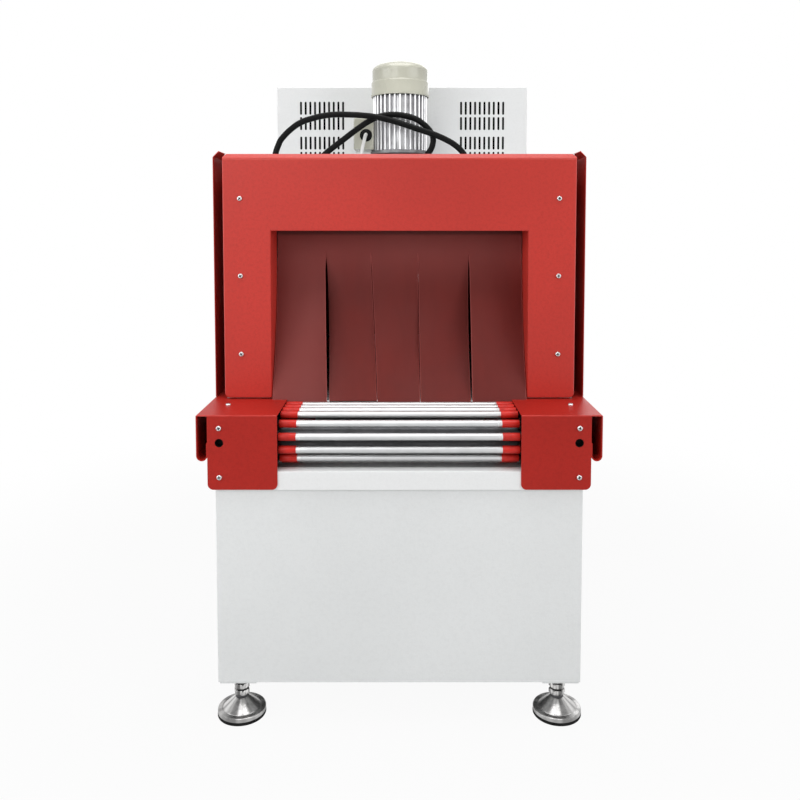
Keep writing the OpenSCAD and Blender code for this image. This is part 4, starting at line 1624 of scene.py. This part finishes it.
@dataclass
class Cables:
    """Black cables and the white motor lead over the roof, with their glands."""

    cable_d: float = 0.015
    lead_d: float = 0.009
    gland_r: float = 0.012
    lead_gland_r: float = 0.0083
    groove: float = 0.045
    grommet_d: float = 0.032
    sides: int = 48
    roof: float = 0.0
    heater: Tuple[Point, ...] = (
        (-314, -100, 12), (-314, -100, 32), (-306, -100, 56), (-293, -100, 77), (-251, -101, 111),
        (-187, -103, 129), (-130, -104, 131), (-67, -105, 126), (-17, -104, 115), (46, -102, 95),
        (96, -101, 78), (135, -100, 58), (157, -100, 38), (164, -100, 24), (164, -100, 12))
    supply: Tuple[Point, ...] = (
        (-202, -84, 12), (-202, -84, 22), (-184, -84, 40), (-145, -84, 70), (-102, -85, 102),
        (-67, -86, 123), (-31, -86, 133), (11, -86, 131), (46, -86, 119), (74, -85, 95),
        (84, -84, 72), (79, -84, 48), (68, -84, 32), (66, -84, 22), (66, -84, 12))
    lead: Tuple[Point, ...] = (
        (-88, -52, 86), (-88, -60, 86), (-90, -69, 78), (-94, -73, 60), (-98, -73, 40),
        (-101, -73, 24), (-101, -73, 12))

    def __post_init__(self) -> None:
        """Reads the roof's height from the CAD."""
        self.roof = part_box("hood_roof")[1].z

    def route(self, points: Sequence[Point], count: int) -> List[Vector]:
        """Smooth line through a route's points.

        Args:
            points: x, y and height above the roof, in millimetres.
            count: how many points are wanted.

        Returns:
            Evenly numbered points in metres.
        """
        way = [Vector((x * MM, y * MM, self.roof + z * MM)) for x, y, z in points]
        way = [2 * way[0] - way[1]] + way + [2 * way[-1] - way[-2]]
        spans = len(way) - 3
        line = []
        for k in range(count):
            s = min(spans - 1e-9, spans * k / (count - 1))
            i, t = int(s), s - int(s)
            a, b, c, d = way[i:i + 4]
            square, cube = 2 * a - 5 * b + 4 * c - d, 3 * b - a - 3 * c + d
            line.append(0.5 * (2 * b + (c - a) * t + square * t * t + cube * t ** 3))
        return line

    def cable(
        self, node: str, points: Sequence[Point], wide: float, finish: Finish, slot: str, count: int
    ) -> None:
        """Args:
            node: the CAD node that it stands for.
            points: its route.
            wide: its diameter.
            finish: what its sheath is.
            slot: the record's material slot.
            count: points of the curve.
        """
        line = self.route(points, count)
        data = bpy.data.curves.new(node + "_curve", "CURVE")
        data.dimensions = "3D"
        data.bevel_depth, data.bevel_resolution, data.use_fill_caps = wide / 2, 5, True
        data.resolution_u = 4
        spline = data.splines.new("BEZIER")
        spline.bezier_points.add(len(line) - 1)
        for knot, at in zip(spline.bezier_points, line):
            knot.co = at
            knot.handle_left_type = knot.handle_right_type = "AUTO"
        data.materials.append(finish.material())
        made = declare(put(node + "_run", data), slot, node)

    def gland(self, bm: BMesh, place: Matrix, outer: float, bore: float, high: float) -> None:
        """Adds one gland: hexagon foot, ribbed dome nut and an open mouth.

        Args:
            bm: where the gland goes.
            place: its place, with z along the cable.
            outer, bore: its radii.
            high: its height.
        """
        prism(bm, [polar(outer, math.pi * k / 3) for k in range(6)], 0.0, high * 0.34, place)
        levels = [(outer * 0.9, 0.34, 0.0), (outer * 0.94, 0.36, 1.0), (outer * 0.94, 0.72, 1.0),
                  (outer * 0.86, 0.86, 0.6), (outer * 0.74, 0.96, 0.0), (bore * 1.06, 1.0, 0.0),
                  (bore, 0.97, 0.0), (bore, 0.4, 0.0)]
        rings = []
        for radius, level, rib in levels:
            reaches = [radius * (1 - self.groove * rib * (k % 4 == 0)) for k in range(self.sides)]
            corners = [polar(reach, 2 * math.pi * k / self.sides) for k, reach in enumerate(reaches)]
            rings.append([bm.verts.new(place @ Vector((x, y, high * level))) for x, y in corners])
        stack(bm, rings)
        bm.faces.new(rings[0])
        bm.faces.new(rings[-1])

    def glands(self) -> None:
        """Makes the roof glands and the terminal box's grommet."""
        bm = bmesh.new()
        ends = [(run[k], self.gland_r, self.cable_d) for run in (self.heater, self.supply) for k in (0, -1)]
        for (x, y, high), outer, wide in ends + [(self.lead[-1], self.lead_gland_r, self.lead_d)]:
            self.gland(bm, Matrix.Translation((x * MM, y * MM, self.roof)), outer, wide / 2, (high + 1.0) * MM)
        x, _, high = self.lead[0]
        front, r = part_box("terminal_box")[0].y, self.grommet_d / 2
        at = Matrix.Translation((x * MM, front, self.roof + high * MM)) @ Matrix.Rotation(math.pi / 2, 4, "X")
        lathe(bm, [(0.0, -0.001), (r, -0.001), (r, 0.0012), (r - 0.0009, 0.0024), (r - 0.0035, 0.003),
                   (r - 0.0045, 0.0048), (r - 0.006, 0.0062), (0.0056, 0.0066), (0.0046, 0.0058),
                   (0.0, 0.0058)], self.sides, at)
        piece("glands", to_mesh("glands", bm), GLAND_SKIN, "cable_black", "cable_glands")

    def build(self) -> None:
        """Makes the three cables and the glands."""
        self.cable("heater_cable", self.heater, self.cable_d, CABLE_SKIN, "cable_black", 29)
        self.cable("supply_cable", self.supply, self.cable_d, CABLE_SKIN, "cable_black", 29)
        self.cable("motor_lead", self.lead, self.lead_d, LEAD_SKIN, "lead_white", 17)
        self.glands()


@dataclass
class Studio:
    """Pale floor, white surroundings, soft lamps and the camera."""

    eye: Point = (0.0061, -2.142, 0.967)
    tilt: float = 86.5
    lens: float = 36.225
    shift: Pair = (-0.0031, -0.1585)
    sky: float = 0.36
    floor_size: float = 60.0
    floor_tone: Colour = (0.45, 0.45, 0.45)
    fade_reach: Pair = (0.7, 1.9)
    fade_glow: Pair = (0.94, 1.0)
    aim: Point = (0.0, 0.0, 0.8)

    def camera(self) -> None:
        """Puts the camera at the picture's viewing angle."""
        data = bpy.data.cameras.new("camera")
        data.lens, data.sensor_width = self.lens, 36.0
        data.shift_x, data.shift_y = self.shift
        data.clip_start, data.clip_end = 0.05, 200.0
        made = put("camera", data)
        made.location = self.eye
        made.rotation_euler = (math.radians(self.tilt), 0.0, 0.0)
        bpy.context.scene.camera = made

    def seen(self, s: NodeSheet) -> Wire:
        """Adds a factor that is 1 for what the camera, a mirror or glass sees.

        Args:
            s: the sheet.

        Returns:
            The factor's wire.
        """
        path = s.add("ShaderNodeLightPath")
        rays = ("Camera", "Glossy", "Transmission")
        eye, mirror, glass = (Wire(s, path.outputs[f"Is {ray} Ray"]) for ray in rays)
        return eye.most(mirror).most(glass)

    def surroundings(self) -> None:
        """White world for the eye, softer light for the object."""
        world = bpy.data.worlds.new("studio")
        world.use_nodes = True
        s = NodeSheet(world.node_tree)
        light, shown = (
            s.node("ShaderNodeBackground", {}, {0: (1.0, 1.0, 1.0, 1.0), 1: power}) for power in (self.sky, 1.0)
        )
        s.end("ShaderNodeOutputWorld", s.node("ShaderNodeMixShader", {}, {0: self.seen(s), 1: light, 2: shown}))
        bpy.context.scene.world = world

    def floor(self) -> None:
        """Wide pale floor that keeps the object's shadow."""
        mesh = bpy.data.meshes.new("floor")
        size = self.floor_size
        corners = [(-size, -size, 0), (size, -size, 0), (size, size, 0), (-size, size, 0)]
        mesh.from_pydata(corners, [], [(0, 1, 2, 3)])
        pale = bpy.data.materials.new("floor")
        pale.use_nodes = True
        s = NodeSheet(pale.node_tree)
        dull = s.node("ShaderNodeBsdfDiffuse", {}, {0: shade(self.floor_tone)})
        glow = s.node("ShaderNodeEmission")
        here = s.node("ShaderNodeTexCoord", out="Object")
        reach = s.node("ShaderNodeVectorMath", {"operation": "LENGTH"}, {0: here}, "Value")
        ends = dict(zip(("From Min", "From Max", "To Min", "To Max"), self.fade_reach + self.fade_glow))
        fade = s.node("ShaderNodeMapRange", {"interpolation_type": "SMOOTHSTEP"}, {"Value": reach, **ends})
        sockets = {0: self.seen(s) * fade, 1: dull, 2: glow}
        s.end("ShaderNodeOutputMaterial", s.node("ShaderNodeMixShader", {}, sockets))
        mesh.materials.append(pale)
        put("floor", mesh)

    def lamp(self, name: str, at: Point, size: float, power: float) -> None:
        """Adds one soft lamp that looks at the machine.

        Args:
            name: the lamp's name.
            at: its place.
            size: side of its square face.
            power: its power in watts.
        """
        data = bpy.data.lights.new(name, "AREA")
        data.shape, data.size, data.energy = "SQUARE", size, power
        made = put(name, data)
        made.location = at
        made.rotation_euler = (Vector(self.aim) - Vector(at)).to_track_quat("-Z", "Y").to_euler()

    def build(self) -> None:
        """Makes the surroundings and the lamps."""
        self.surroundings()
        self.floor()
        self.lamp("key", (-1.1, -2.75, 1.9), 1.3, 15.0)
        self.lamp("side", (-2.9, -1.9, 1.3), 2.2, 38.0)
        self.lamp("fill", (2.9, -1.9, 1.3), 2.4, 40.0)
        self.lamp("top", (0.0, -0.6, 4.0), 2.6, 84.0)
        self.lamp("back", (0.6, 3.6, 2.4), 2.2, 22.0)
        bpy.context.scene.view_settings.view_transform = "Standard"


def main() -> None:
    """Builds the pieces in order."""
    logging.basicConfig(level=logging.INFO, format="%(name)s %(message)s")
    studio = Studio()
    studio.camera()
    for part in (Cables(), Cabinet(), Feet(), Conveyor(), Covers(), Hood(), Screws(), Curtain(End.INFEED),
                 Curtain(End.OUTFEED, slits=(0.0, 0.0042, 0.0001, 0.0001, 0.0032, 0.0)),
                 FanMotor(), ControlBox()):
        part.build()
    studio.build()


if __name__ == "__main__":
    main()
